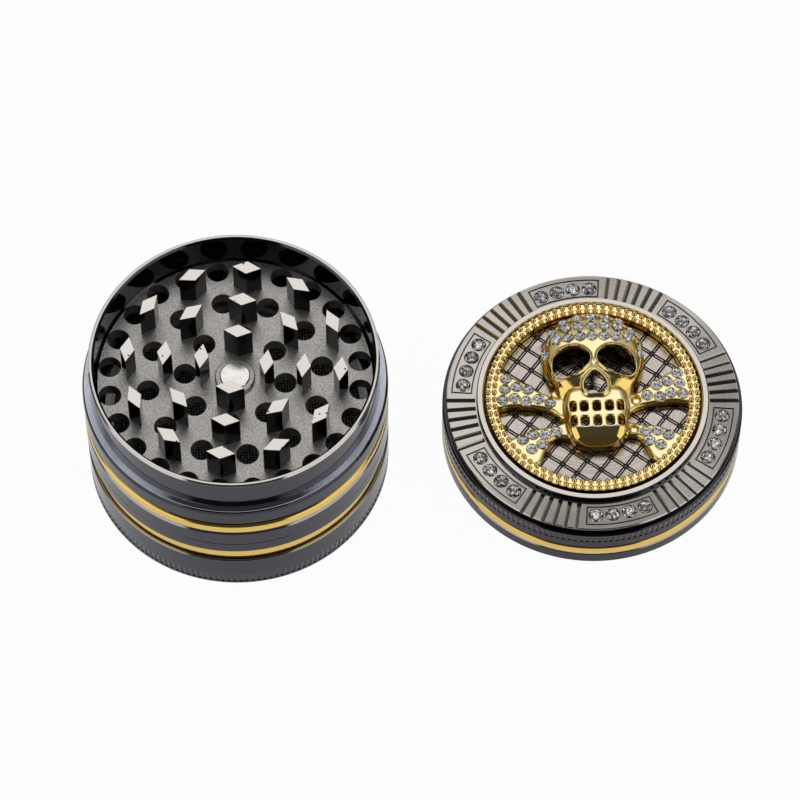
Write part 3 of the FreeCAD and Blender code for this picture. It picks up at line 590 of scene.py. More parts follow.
@dataclass(frozen=True)
class ReliefMetal(Finish):
    """Polished relief: bright on top with fine turned lines, with painted shade where it is sunk."""

    top: float = 0.0
    sunk: float = 0.2
    colour: Colour = (0.56, 0.5, 0.45)
    # colour of sunk faces: painted shade in the recesses
    dark: Colour = (0.035, 0.03, 0.025)
    lines: float = 0.22
    depth: float = 2.5e-6
    collar: float = 0.0
    outer: float = 99.0
    lean: float = 0.0

    # painted highlight on the collar, painted shade on its outer wall, painted highlight on the outer edge
    COLLAR_HIGHLIGHT = (0.66, 0.6, 0.54)
    COLLAR_WALL_SHADE = (0.03, 0.03, 0.042)
    OUTER_EDGE_HIGHLIGHT = (0.6, 0.58, 0.57)
    FLANK_SHARE = 0.45
    FLOOR_SLOPE = (0.8, 0.95)
    LEVEL_SLOPE = (0.9, 0.97)
    WALL_SLOPE = 0.6
    WALL_REACH = 0.45
    WALL_DROP = 0.05
    TOP_DROP = 0.04
    OUTER_DROP = 0.24
    PATCH = 5.0
    EDGE = 0.8e-4
    ROUGHNESS = 0.1
    SMUDGE = 0.14

    def leaning(self, graph: Graph, place: Socket, normal: Socket) -> Socket:
        """A normal tipped outwards on level faces beyond the collar, which fall away a little.

        Args:
            graph: the material's tree.
            place: millimetres about the axis.
            normal: the normal to tip.

        Returns:
            The tipped normal.
        """
        level = graph.step(graph.upward(), *self.LEVEL_SLOPE)
        beyond = graph.math("GREATER_THAN", graph.radius(place), self.collar)
        return graph.tipped(place, normal, graph.product(level, beyond, self.lean))

    def shade(self, graph: Graph, place: Socket) -> Socket:
        """The colour: painted shade by depth below the top, a painted highlight on the collar, painted shade
        on the collar's outer wall and a painted highlight on the outer edge.

        Args:
            graph: the material's tree.
            place: millimetres about the axis.

        Returns:
            The colour.
        """
        level = graph.split(place)[2]
        radius = graph.radius(place)
        floors = graph.step(graph.upward(), *self.FLOOR_SLOPE)
        # painted shade, deeper below the top; level floors take all of it, flanks a share
        deep = graph.product(graph.step(level, self.top - self.TOP_DROP, self.top - self.sunk),
                             graph.between(floors, self.FLANK_SHARE, 1.0))
        within = graph.math("LESS_THAN", radius, self.collar)
        wall = graph.product(graph.math("LESS_THAN", graph.upward("True Normal"), self.WALL_SLOPE),
                             graph.math("COMPARE", radius, self.collar, self.WALL_REACH),
                             graph.math("GREATER_THAN", level, self.top - self.WALL_DROP))
        edge = graph.product(graph.math("GREATER_THAN", radius, self.outer),
                             graph.math("GREATER_THAN", level, self.top - self.OUTER_DROP))
        shade = graph.blend(deep, self.colour, self.dark)
        # paint the collar's highlight, the shade on its wall and the highlight on the outer edge
        for mask, colour in ((within, self.COLLAR_HIGHLIGHT), (wall, self.COLLAR_WALL_SHADE), (edge, self.OUTER_EDGE_HIGHLIGHT)):
            shade = graph.blend(mask, shade, colour)
        return shade

    def paint(self, graph: Graph) -> dict:
        """Metal shaded by its relief, with turned lines as bump.

        Args:
            graph: the material's tree.

        Returns:
            What feeds the shader, by socket.
        """
        place = graph.place(self.axis)
        normal = graph.effect(Effect.EDGES, Radius=self.EDGE)["Normal"]
        if self.lean:
            normal = self.leaning(graph, place, normal)
        marks = graph.smudges(place, self.PATCH)
        return {"Metallic": 1.0, "Base Color": self.shade(graph, place),
                "Roughness": graph.math("MULTIPLY_ADD", marks, self.SMUDGE, self.ROUGHNESS),
                "Normal": graph.bump(graph.rings(place, self.lines), self.depth, normal)}


@dataclass(frozen=True)
class CastGold(Finish):
    """Bright gold plating over a slightly wavy casting, redder in patches."""

    colour: Colour = (0.96, 0.68, 0.2)
    deep: Colour = (0.74, 0.42, 0.08)
    # paler colour of level faces: a painted highlight
    level_highlight: Colour = (0.99, 0.86, 0.48)

    PATCH = 3.0
    GRAIN = 0.3
    TONE = 0.35
    LEVEL_SLOPE = (0.9, 0.99)
    ROUGHNESS = 0.09
    SMUDGE = 0.12
    DEPTH = 0.8e-5

    def paint(self, graph: Graph) -> dict:
        """Metal with a soft wave as bump, a redder tone in patches and paler level faces, a painted highlight
        on the faces that look up.

        Args:
            graph: the material's tree.

        Returns:
            What feeds the shader, by socket.
        """
        place = graph.place(self.axis)
        skin = graph.effect(Effect.GRAIN, Place=place, Grain=self.GRAIN)
        shade = graph.blend(graph.product(skin["Pits"], self.TONE), self.colour, self.deep)
        # level faces painted paler: a painted highlight
        shade = graph.blend(graph.step(graph.upward(), *self.LEVEL_SLOPE), shade, self.level_highlight)
        marks = graph.smudges(place, self.PATCH)
        return {"Metallic": 1.0, "Base Color": shade,
                "Roughness": graph.math("MULTIPLY_ADD", marks, self.SMUDGE, self.ROUGHNESS),
                "Normal": graph.bump(skin["Height"], self.DEPTH)}


@dataclass(frozen=True)
class Nickel(Finish):
    """Bright nickel plating with a few short scuffs."""

    colour: Colour = (0.84, 0.81, 0.76)
    scuff: Colour = (0.26, 0.24, 0.2)

    SCUFF_TURN = 2.6
    SCUFF_STRETCH = (0.5, 3.2, 1.0)
    SCUFF_SCALE = 0.9
    SCUFF_EDGE = (0.655, 0.7)
    PATCH = 2.5
    EDGE = 1.5e-4
    ROUGHNESS = 0.16
    SMUDGE = 0.25
    WAVE_SCALE = 0.4
    WAVE_DEPTH = 2e-5

    def paint(self, graph: Graph) -> dict:
        """Metal with stretched dark marks and a soft wave.

        Args:
            graph: the material's tree.

        Returns:
            What feeds the shader, by socket.
        """
        place = graph.place(self.axis, self.SCUFF_TURN)
        drawn = graph.node("Mapping", {"Vector": place, "Scale": self.SCUFF_STRETCH}).outputs["Vector"]
        scuffs = graph.step(graph.noise(drawn, self.SCUFF_SCALE, detail=4.0), *self.SCUFF_EDGE)
        edges = graph.effect(Effect.EDGES, Radius=self.EDGE)
        marks = graph.smudges(place, self.PATCH)
        wave = graph.noise(place, self.WAVE_SCALE)
        return {"Metallic": 1.0, "Base Color": graph.blend(scuffs, self.colour, self.scuff),
                "Roughness": graph.math("MULTIPLY_ADD", marks, self.SMUDGE, self.ROUGHNESS),
                "Normal": graph.bump(wave, self.WAVE_DEPTH, edges["Normal"])}


@dataclass(frozen=True)
class Nylon(Finish):
    """Natural moulded nylon with a faint haze."""

    colour: Colour = (0.78, 0.77, 0.73)
    haze: Colour = (0.66, 0.645, 0.6)

    PATCH = 4.0
    GRAIN = 0.2
    ROUGHNESS = 0.38
    SMUDGE = 0.2
    DEPTH = 4e-6

    def paint(self, graph: Graph) -> dict:
        """Plastic with a little mottling.

        Args:
            graph: the material's tree.

        Returns:
            What feeds the shader, by socket.
        """
        place = graph.place(self.axis)
        marks = graph.smudges(place, self.PATCH)
        skin = graph.effect(Effect.GRAIN, Place=place, Grain=self.GRAIN)
        return {"Base Color": graph.blend(marks, self.colour, self.haze),
                "Roughness": graph.math("MULTIPLY_ADD", marks, self.SMUDGE, self.ROUGHNESS),
                "Normal": graph.bump(skin["Height"], self.DEPTH)}


@dataclass(frozen=True)
class StoneCrown(Finish):
    """The clear upper facets of a cut stone."""

    PATCH = 1.0
    HAZE = 0.05
    GLASS_IOR = 1.54

    def paint(self, graph: Graph) -> dict:
        """Glass with a trace of haze."""
        haze = graph.product(graph.smudges(graph.place(self.axis), self.PATCH), self.HAZE)
        return {"Base Color": (1.0, 1.0, 1.0, 1.0), "Transmission Weight": 1.0, "IOR": self.GLASS_IOR,
                "Roughness": haze}


@dataclass(frozen=True)
class StoneFoil(Finish):
    """The silvered under facets of a cut stone."""

    # second colour, in patches: a faint mottle, and painted dark reflections where it is dark, as on the
    # bezel's stones
    mottle_and_dark_reflection: Colour = (0.86, 0.85, 0.83)
    bright: Colour = (0.99, 0.98, 0.97)

    PATCH = 0.8
    ROUGHNESS = 0.05
    SMUDGE = 0.08

    def paint(self, graph: Graph) -> dict:
        """Mirror with patches of a second colour: a faint mottle on the medallion's stones, painted dark
        reflections on the bezel's stones.
        """
        marks = graph.smudges(graph.place(self.axis), self.PATCH)
        return {"Metallic": 1.0, "Base Color": graph.blend(marks, self.bright, self.mottle_and_dark_reflection),
                "Roughness": graph.math("MULTIPLY_ADD", marks, self.SMUDGE, self.ROUGHNESS)}


class Finishes:
    """Every finish of the object, by the piece that wears it.

    A zone that is cut bare has a lower level, an upper level, an inner radius and a colour.
    """

    PLATING = (0.06, 0.057, 0.071)
    LID_PLATING = (0.052, 0.046, 0.053)
    # paler colour for the plating's edges: partly wear, partly a painted highlight
    PLATING_EDGE_WEAR_AND_SHEEN = (0.2, 0.19, 0.2)
    LIP = (0.4, 0.375, 0.35)
    CUP_LIP = (9.8, 10.1, 30.9, LIP)
    CHAMBER_LIP = (21.34, 21.74, 31.0, LIP)
    LID_LIP = (3.25, 3.58, 31.1, LIP)
    RIM = (38.7, 39.2, 29.12, (0.6, 0.565, 0.535))
    LEDGE = (30.55, 30.65, 29.9, (0.7, 0.73, 0.84))
    LEDGE_RIBS = (30.5, 30.7, 29.9)
    # the edge colours in these two sets paint edges paler: partly wear, partly a painted highlight
    SATIN = {"colour": (0.93, 0.64, 0.17), "edge_wear_and_sheen": (0.95, 0.75, 0.36), "roughness": 0.11, "smudge": 0.12,
             "pitch": 0.1, "depth": 1.5e-6}
    STEEL = {"colour": (0.55, 0.55, 0.56), "edge_wear_and_sheen": (0.7, 0.7, 0.7), "roughness": 0.25, "smudge": 0.2}

    CUP = TurnedMetal("dark_gloss_plating_cup", Axis.BODY, PLATING, PLATING_EDGE_WEAR_AND_SHEEN, bare=(CUP_LIP,))
    SIEVE = TurnedMetal("dark_gloss_plating_sieve", Axis.BODY, PLATING, PLATING_EDGE_WEAR_AND_SHEEN)
    CHAMBER = TurnedMetal("dark_gloss_plating_chamber", Axis.BODY, PLATING, PLATING_EDGE_WEAR_AND_SHEEN,
                          bare=(RIM, LEDGE, CHAMBER_LIP), ribs=LEDGE_RIBS)
    LID = TurnedMetal("dark_gloss_plating_lid", Axis.LID, LID_PLATING, PLATING_EDGE_WEAR_AND_SHEEN, bare=(LID_LIP,))
    FLOOR = BlastedMetal("blasted_floor", Axis.BODY)
    WIRE = TurnedMetal("screen_wire_steel", Axis.BODY, (0.95, 0.93, 0.88), (0.97, 0.95, 0.9), roughness=0.36,
                       smudge=0.2, pitch=0.3, depth=1e-6, edge=2e-5)
    BODY_STEEL = TurnedMetal("turned_steel_body", Axis.BODY, **STEEL)
    LID_STEEL = TurnedMetal("turned_steel_lid", Axis.LID, **STEEL)
    BODY_MAGNET = Nickel("bright_nickel_body", Axis.BODY)
    LID_MAGNET = Nickel("bright_nickel_lid", Axis.LID)
    BRASS = TurnedMetal("turned_brass", Axis.LID, (0.75, 0.56, 0.27), (0.85, 0.7, 0.42), roughness=0.25,
                        smudge=0.2)
    NYLON = Nylon("natural_nylon", Axis.LID)
    GOLD = CastGold("bright_gold_casting", Axis.LID)
    CROWN = StoneCrown("stone_crown", Axis.LID)
    FOIL = StoneFoil("stone_foil", Axis.LID)
    # the bezel stones' foil has dark patches: painted dark reflections
    BEZEL_FOIL = StoneFoil("stone_foil_bezel", Axis.LID, (0.36, 0.36, 0.37))

    @classmethod
    def satin_gold(cls, node: str, axis: Axis, crown: tuple[float, float]) -> TurnedMetal:
        """Satin gold for a band whose face is rounded between two levels."""
        return TurnedMetal("satin_gold_" + node, axis, crown=crown, **cls.SATIN)


def dress(finishes: dict[str, Finish]) -> None:
    """Give CAD nodes their finishes.

    Args:
        finishes: what each node wears, by the node's name.
    """
    for node, finish in finishes.items():
        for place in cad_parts[node].material_slots:
            place.material = finish.material()
        log.info("%s keeps its shape and wears %s", node, finish.name)


# mesh making

def applied(carrier: bpy.types.Object) -> bpy.types.Mesh:
    """The mesh of an object with its modifiers applied; the object is in the scene only meanwhile.

    Args:
        carrier: the object, which is used up.

    Returns:
        The new mesh.
    """
    collection = bpy.context.scene.collection
    collection.objects.link(carrier)
    bpy.context.view_layer.update()
    mesh = bpy.data.meshes.new_from_object(carrier.evaluated_get(bpy.context.evaluated_depsgraph_get()))
    bpy.data.objects.remove(carrier)
    return mesh


def curve_mesh(points: Sequence[Sequence[float]], **settings: object) -> bpy.types.Mesh:
    """A mesh from one closed smooth curve.

    Args:
        points: places that the curve goes through, in millimetres.
        settings: the curve's own properties, such as its bevel.

    Returns:
        The mesh, in millimetres.
    """
    data = bpy.data.curves.new("outline", "CURVE")
    for name, value in settings.items():
        setattr(data, name, value)
    spline = data.splines.new("BEZIER")
    spline.bezier_points.add(len(points) - 1)
    for knot, point in zip(spline.bezier_points, points):
        knot.co = (*point, 0.0)[:3]
        knot.handle_left_type = knot.handle_right_type = "AUTO"
    spline.use_cyclic_u = True
    spline.resolution_u = 8
    mesh = applied(bpy.data.objects.new("outline", data))
    bpy.data.curves.remove(data)
    return mesh


def facing(centre: Vector, normal: Vector) -> Matrix:
    """The step to a centre that turns Z into the normal's direction."""
    return Matrix.Translation(centre) @ normal.to_track_quat("Z", "Y").to_matrix().to_4x4()


class Shape:
    """A mesh in the making, in millimetres about its own centre."""

    def __init__(self) -> None:
        """Start empty."""
        self.bm = bmesh.new()

    def take(self, mesh: bpy.types.Mesh, place: Optional[Matrix] = None) -> "Shape":
        """Add a mesh, moved by a matrix.

        Args:
            mesh: the mesh, which is used up.
            place: the move, or none.

        Returns:
            This shape.
        """
        if place is not None:
            mesh.transform(place)
        self.bm.from_mesh(mesh)
        bpy.data.meshes.remove(mesh)
        return self

    def take_copies(self, single: bpy.types.Mesh, places: Iterable[Matrix]) -> "Shape":
        """Add a mesh many times.

        Args:
            single: the mesh, which is used up.
            places: the move of each copy.

        Returns:
            This shape.
        """
        for place in places:
            self.take(single.copy(), place)
        bpy.data.meshes.remove(single)
        return self

    def spin(self, outline: Sequence[Point], steps: int, closed: bool = True) -> "Shape":
        """Turn an outline of radius and height about the axis.

        Args:
            outline: corners of the section.
            steps: steps in the full turn.
            closed: whether the last corner joins the first.

        Returns:
            This shape.
        """
        corners = [self.bm.verts.new((radius, 0.0, height)) for radius, height in outline]
        ends = corners[1:] + corners[:1] if closed else corners[1:]
        edges = [self.bm.edges.new(pair) for pair in zip(corners, ends)]
        bmesh.ops.spin(self.bm, geom=corners + edges, cent=(0, 0, 0), axis=(0, 0, 1), angle=TURN, steps=steps,
                       use_merge=True)
        return self

    def ball(self, centre: Sequence[float], radii: Sequence[float]) -> None:
        """Add an ellipsoid."""
        place = Matrix.Translation(centre) @ Matrix.Diagonal((*radii, 1.0))
        bmesh.ops.create_uvsphere(self.bm, u_segments=40, v_segments=24, radius=1.0, matrix=place)

    def block(self, low: Sequence[float], high: Sequence[float]) -> list[bmesh.types.BMVert]:
        """Add a box.

        Args:
            low: its lowest corner.
            high: its highest corner.

        Returns:
            Its eight corners.
        """
        size = Vector(high) - Vector(low)
        place = Matrix.Translation((Vector(low) + Vector(high)) / 2) @ Matrix.Diagonal((*size, 1.0))
        return bmesh.ops.create_cube(self.bm, size=1.0, matrix=place)["verts"]

    def plate(self, outline: Sequence[Point], low: float, high: float, rounding: float) -> "Shape":
        """Add a plate with a smooth outline and rounded edges.

        Args:
            outline: places that its edge goes through.
            low: the level of its under side.
            high: the level of its top.
            rounding: the radius of its edges.

        Returns:
            This shape.
        """
        mesh = curve_mesh(outline, dimensions="2D", fill_mode="BOTH", extrude=(high - low) / 2 - rounding,
                          bevel_depth=rounding, bevel_resolution=4, offset=-rounding)
        return self.take(mesh, Matrix.Translation((0, 0, (low + high) / 2)))

    def tube(self, points: Sequence[Sequence[float]], radius: float) -> None:
        """Add a closed round tube through points."""
        self.take(curve_mesh(points, dimensions="3D", bevel_depth=radius, bevel_resolution=2))

    def facet(self, point: Sequence[float], slope: Sequence[float]) -> None:
        """Cut a flat facet on a closed shape.

        Args:
            point: a point of the facet's plane.
            slope: the plane's direction; what lies beyond it goes.
        """
        whole = self.bm.verts[:] + self.bm.edges[:] + self.bm.faces[:]
        cut = bmesh.ops.bisect_plane(self.bm, geom=whole, dist=1e-5, plane_co=point, plane_no=slope,
                                     clear_outer=True)["geom_cut"]
        rim = [item for item in cut if isinstance(item, bmesh.types.BMEdge)]
        bmesh.ops.holes_fill(self.bm, edges=rim, sides=0)

    def clean(self) -> "Shape":
        """Merge doubles and turn the faces outwards.

        Returns:
            This shape.
        """
        bmesh.ops.remove_doubles(self.bm, verts=self.bm.verts, dist=1e-4)
        bmesh.ops.recalc_face_normals(self.bm, faces=self.bm.faces)
        return self

    def mesh(self, name: str) -> bpy.types.Mesh:
        """The shape as a mesh, still in millimetres; the shape is used up.

        Args:
            name: the mesh's name.

        Returns:
            The mesh.
        """
        made = bpy.data.meshes.new(name)
        self.bm.to_mesh(made)
        self.bm.free()
        return made

    def piece(self, name: str, place: Matrix, finishes: Iterable[Finish], sharp: float) -> bpy.types.Object:
        """Clean the shape and put it in its place in the scene, as stand() does with a mesh."""
        return stand(self.clean().mesh(name), name, place, finishes, sharp)


def stand(mesh: bpy.types.Mesh, name: str, place: Matrix, finishes: Iterable[Finish],
          sharp: float) -> bpy.types.Object:
    """Put a finished mesh in its place in the scene.

    Args:
        mesh: the mesh, in millimetres.
        name: the piece's name.
        place: the step from the mesh to the row frame in metres.
        finishes: what it wears, by material number.
        sharp: the angle in degrees past which an edge stays sharp.

    Returns:
        The new object.
    """
    mesh.transform(place)
    mesh.polygons.foreach_set("use_smooth", [True] * len(mesh.polygons))
    mesh.set_sharp_from_angle(angle=math.radians(sharp))
    for finish in finishes:
        mesh.materials.append(finish.material())
    piece = bpy.data.objects.new(name, mesh)
    bpy.context.scene.collection.objects.link(piece)
    log.info("%s has %d faces", name, len(mesh.polygons))
    return piece


def settle(piece: bpy.types.Object, body: str, slot: str, *nodes: str) -> None:
    """Let a piece ride on a body and stand for nodes.

    Args:
        piece: the piece.
        body: the body that carries it.
        slot: not used.
        nodes: the CAD nodes that it stands for.
    """
    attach(piece, body)
    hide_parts(*nodes)


def remeshed(mesh: bpy.types.Mesh, voxel: float, cutters: Sequence[bpy.types.Mesh],
             smoothing: int) -> bpy.types.Mesh:
    """One skin around overlapping parts, with cutters taken out of it, then a second skin, smoothed.

    Args:
        mesh: overlapping closed parts, which are used up.
        voxel: the skins' grain, in millimetres.
        cutters: closed meshes that are cut away one after the other, and used up.
        smoothing: rounds of smoothing.

    Returns:
        The new mesh.
    """
    carrier = bpy.data.objects.new("skin", mesh)
    skins = [carrier.modifiers.new("skin", "REMESH")]
    tools = [bpy.data.objects.new("cutter", cutter) for cutter in cutters]
    for tool in tools:
        bpy.context.scene.collection.objects.link(tool)
        cut = carrier.modifiers.new("cut", "BOOLEAN")
        cut.operation = "DIFFERENCE"
        cut.solver = "EXACT"
        cut.object = tool
    skins.append(carrier.modifiers.new("second_skin", "REMESH"))
    for skin in skins:
        skin.mode = "VOXEL"
        skin.voxel_size = voxel
    soft = carrier.modifiers.new("soft", "SMOOTH")
    soft.factor = 0.5
    soft.iterations = smoothing
    result = applied(carrier)
    result.materials.clear()
    for tool in tools:
        bpy.data.objects.remove(tool)
    for used in (mesh, *cutters):
        bpy.data.meshes.remove(used)
    return result


# the body

@dataclass
class BodyLayers:
    """The screwed layers of the body, whose CAD shapes stay, and the woven screen."""

    upper_band: tuple[float, float] = (22.4, 24.9)
    screen_radius: float = 27.1
    wire_pitch: float = 0.62
    wire_radius: float = 0.13
    wire_wave: float = 0.1

    def build(self) -> None:
        """Dress the kept nodes and weave the screen."""
        bands = {"lower_gold_band": node_heights("lower_gold_band"), "upper_gold_band": self.upper_band}
        dress({"catch_cup": Finishes.CUP, "sieve_ring": Finishes.SIEVE, "grinding_chamber": Finishes.CHAMBER})
        dress({node: Finishes.satin_gold(node, Axis.BODY, crown) for node, crown in bands.items()})
        dress({"chamber_floor": Finishes.FLOOR,
               "chamber_teeth": ToothMetal("ground_teeth_body", Axis.BODY, node_heights("chamber_teeth")[1]),
               "chamber_magnet": Finishes.BODY_MAGNET,
               "screen_retaining_ring": Finishes.BODY_STEEL})
        self.weave()

    def wire(self, count: int) -> Shape:
        """One wire along X that waves up and down at every crossing.

        Args:
            count: crossings to each side of the middle.

        Returns:
            The wire's shape.
        """
        wire = Shape()
        start = Matrix.Translation((-count * self.wire_pitch, 0, 0)) @ Matrix.Rotation(math.pi / 2, 4, "Y")
        ring = bmesh.ops.create_circle(wire.bm, segments=3, radius=self.wire_radius, matrix=start)["verts"]
        edges = list({edge for corner in ring for edge in corner.link_edges})
        for crossing in range(-count, count + 1):
            rise = self.wire_wave if crossing % 2 else -self.wire_wave
            for corner in ring:
                corner.co.z += rise
            if crossing == count:
                break
            grown = bmesh.ops.extrude_edge_only(wire.bm, edges=edges)["geom"]
            ring = [item for item in grown if isinstance(item, bmesh.types.BMVert)]
            edges = [item for item in grown if isinstance(item, bmesh.types.BMEdge)]
            bmesh.ops.translate(wire.bm, verts=ring, vec=(self.wire_pitch, 0, -rise))
        return wire

    def weave(self) -> None:
        """Lay wires over and under each other and trim them round."""
        count = int(self.screen_radius / self.wire_pitch)
        places = []
        for row in range(-count, count + 1):
            flip = Matrix.Diagonal((1, 1, 1 if row % 2 else -1, 1))
            shift = Matrix.Translation((0, row * self.wire_pitch, 0))
            for turn, over in ((0.0, 1), (math.pi / 2, -1)):
                places.append(Matrix.Rotation(turn, 4, "Z") @ shift @ flip @ Matrix.Diagonal((1, 1, over, 1)))
        weave = Shape().take_copies(self.wire(count).mesh("wire"), places)
        beyond = [corner for corner in weave.bm.verts if corner.co.xy.length > self.screen_radius]
        bmesh.ops.delete(weave.bm, geom=beyond, context="VERTS")
        middle = Matrix.Translation((0, 0, sum(node_heights("sieve_screen")) / 2))
        screen = weave.piece("woven_screen", Axis.BODY.matrix() @ middle, [Finishes.WIRE], sharp=60)
        settle(screen, "sieve", "screen_wire", "sieve_screen")


# the lid

@dataclass(frozen=True)
class CutStone:
    """A round brilliant: table, crown, girdle and shallow silvered under side, as shares of its radius."""

    table: float = 0.64
    table_height: float = 0.34
    shoulder: float = 0.85
    shoulder_height: float = 0.19
    under: float = 0.58
    under_depth: float = 0.05
    under_step: float = 0.09
    depth: float = 0.07
    sides: int = 8
    tilt: float = 0.05

    def mesh(self) -> bpy.types.Mesh:
        """A stone of radius 1 with its girdle at height 0; under facets take material 1.

        Returns:
            The mesh.
        """
        shape = Shape()
        half = math.pi / self.sides
        rings = ((self.table, self.table_height, half, self.sides),
                 (self.shoulder, self.shoulder_height, 0.0, self.sides),
                 (1.0, 0.0, half / 2, self.sides * 2),
                 (self.under, -self.under_depth, half, self.sides))
        for radius, height, turn, count in rings:
            place = Matrix.Translation((0, 0, height)) @ Matrix.Rotation(turn, 4, "Z")
            bmesh.ops.create_circle(shape.bm, segments=count, radius=radius, matrix=place)
        shape.bm.verts.new((0, 0, -self.depth))
        hull = bmesh.ops.convex_hull(shape.bm, input=shape.bm.verts)
        loose = [item for item in hull["geom_interior"] if isinstance(item, bmesh.types.BMVert)]
        bmesh.ops.delete(shape.bm, geom=loose, context="VERTS")
        bmesh.ops.recalc_face_normals(shape.bm, faces=shape.bm.faces)
        for face in shape.bm.faces:
            face.material_index = 1 if face.calc_center_median().z < 0 else 0
        below = [corner for corner in shape.bm.verts if corner.co.z < 0]
        ring = [corner for corner in below if corner.co.xy.length > self.under / 2]
        ring.sort(key=lambda corner: math.atan2(corner.co.y, corner.co.x))
        bmesh.ops.translate(shape.bm, verts=ring[::2], vec=(0, 0, -self.under_step))
        return shape.mesh("stone")

    def scatter(self, name: str, seats: Sequence[Seat], radius: float, seed: int, frame_place: Matrix,
                foil: StoneFoil) -> bpy.types.Object:
        """Set stones in their seats.

        Args:
            name: the piece's name.
            seats: each stone's girdle centre and outward direction, in millimetres.
            radius: the stones' radius.
            seed: what the stones' small turns start from.
            frame_place: the step from the seats to the row frame.
            foil: the silvering of the under side.

        Returns:
            The piece.
        """
        chance = Random(seed)
        places = []
        for centre, normal in seats:
            sway = Vector((chance.uniform(-self.tilt, self.tilt), chance.uniform(-self.tilt, self.tilt), 0))
            spin = Matrix.Rotation(chance.uniform(0, TURN), 4, "Z")
            places.append(facing(centre, normal.normalized() + sway) @ spin @ Matrix.Scale(radius, 4))
        shape = Shape().take_copies(self.mesh(), places)
        return shape.piece(name, frame_place, [Finishes.CROWN, foil], sharp=3)


@dataclass
class LidShell:
    """The lid's cap, bezel and inner parts, whose CAD shapes stay, and the bezel's stones."""

    panels: int = 6
    stones: int = 4
    panel_turn: float = -7.4
    stone_step: float = 7.3
    stone_ring: float = 27.35
    stone_radius: float = 1.5
    stone_cut: CutStone = CutStone(under_step=0.14)
    stone_seed: int = 5
    # the collar's painted highlight ends at the collar's foot; the outer edge's painted highlight starts at
    # the edge radius
    collar_foot: float = 24.45
    edge_radius: float = 30.48
    bezel_lean: float = 0.08

    BEZEL_COLOUR = (0.54, 0.5, 0.455)
    # colour of the bezel's sunk faces: painted shade in the recesses
    BEZEL_RECESS_SHADE = (0.05, 0.047, 0.045)

    def build(self) -> None:
        """Dress the kept nodes and set the bezel's stones."""
        top = self.bezel_top()
        bezel = ReliefMetal("polished_bezel", Axis.LID, top, colour=self.BEZEL_COLOUR, dark=self.BEZEL_RECESS_SHADE,
                            lines=0.25, depth=5e-6, collar=self.collar_foot, outer=self.edge_radius,
                            lean=self.bezel_lean)
        band = Finishes.satin_gold("lid", Axis.LID, node_heights("lid_gold_band"))
        teeth = ToothMetal("ground_teeth_lid", Axis.LID, node_heights("lid_teeth")[0])
        dress({"lid_cap": Finishes.LID, "lid_bezel": bezel, "lid_gold_band": band, "lid_teeth": teeth,
               "lid_magnet": Finishes.LID_MAGNET, "lid_slip_ring": Finishes.NYLON,
               "medallion_pivot": Finishes.LID_STEEL, "pivot_clip": Finishes.LID_STEEL,
               "pivot_bush": Finishes.BRASS})
        seats = [(self.seat(panel, index, top), Vector((0, 0, 1)))
                 for panel in range(self.panels) for index in range(self.stones)]
        stones = self.stone_cut.scatter("bezel_brilliants", seats, self.stone_radius, self.stone_seed,
                                        Axis.LID.matrix(), Finishes.BEZEL_FOIL)
        settle(stones, "lid", "clear_stone", "bezel_stones")

    def bezel_top(self) -> float:
        """The level of the bezel's flat face, where its stones' girdles are."""
        return node_heights("bezel_stones")[1] - self.stone_cut.table_height * self.stone_radius

    def seat(self, panel: int, index: int, height: float) -> Vector:
        """The centre of one bezel stone; angles run clockwise from +Y."""
        angle = math.radians(self.panel_turn + panel * 360 / self.panels
                             + (index - (self.stones - 1) / 2) * self.stone_step)
        return Vector((self.stone_ring * math.sin(angle), self.stone_ring * math.cos(angle), height))


@dataclass
class LatticePlate:
    """The plate under the medallion, cut with crossing double lines."""

    radius: float = 22.8
    pattern_radius: float = 22.0
    pitch: float = 3.65
    strip: float = 0.22
    groove: float = 0.3
    depth: float = 0.3
    draft: float = 0.02
    turn: float = -39.87
    first_across: float = -0.08
    first_along: float = 2.21

    def spans(self, first: float) -> list[tuple[float, float]]:
        """Stretches along one direction that stand up: each line's strip, and the tile after it.

        Args:
            first: the place of one line.

        Returns:
            Start and end of each stretch.
        """
        reach = int(self.radius / self.pitch) + 1
        edge = self.strip / 2
        spans = []
        for line in range(-reach, reach + 1):
            middle = first + line * self.pitch
            spans.append((middle - edge, middle + edge))
            spans.append((middle + edge + self.groove, middle + self.pitch - edge - self.groove))
        return spans

    def build(self) -> None:
        """Raise the tiles and strips on a plain disc."""
        low, high = node_heights("lattice_plate")
        sunk = high - self.depth
        shape = Shape()
        for left, right in self.spans(self.first_across):
            for near, far in self.spans(self.first_along):
                middle = Vector(((left + right) / 2, (near + far) / 2, 0))
                if middle.length > self.pattern_radius:
                    continue
                corners = shape.block((left, near, sunk - self.depth), (right, far, high))
                tops = [corner for corner in corners if corner.co.z > sunk]
                narrow = 1 - 2 * self.draft / min(right - left, far - near)
                bmesh.ops.scale(shape.bm, verts=tops, vec=(narrow, narrow, 1),
                                space=Matrix.Translation(-middle))
        for corner in shape.bm.verts:
            if corner.co.xy.length > self.pattern_radius:
                corner.co.xy = corner.co.xy.normalized() * self.pattern_radius
        disc = ((0.0, low), (self.radius, low), (self.radius, sunk), (0.0, sunk))
        shape.spin(disc, steps=128, closed=False)
        # the lattice's grooves take the finish's painted shade in the recesses
        finish = ReliefMetal("cut_lattice", Axis.LID, high, sunk=self.depth, lines=0.36, depth=9e-5)
        lattice = shape.piece("lattice", Axis.LID.matrix(self.turn), [finish], sharp=30)
        settle(lattice, "lid", "lattice_metal", "lattice_plate")


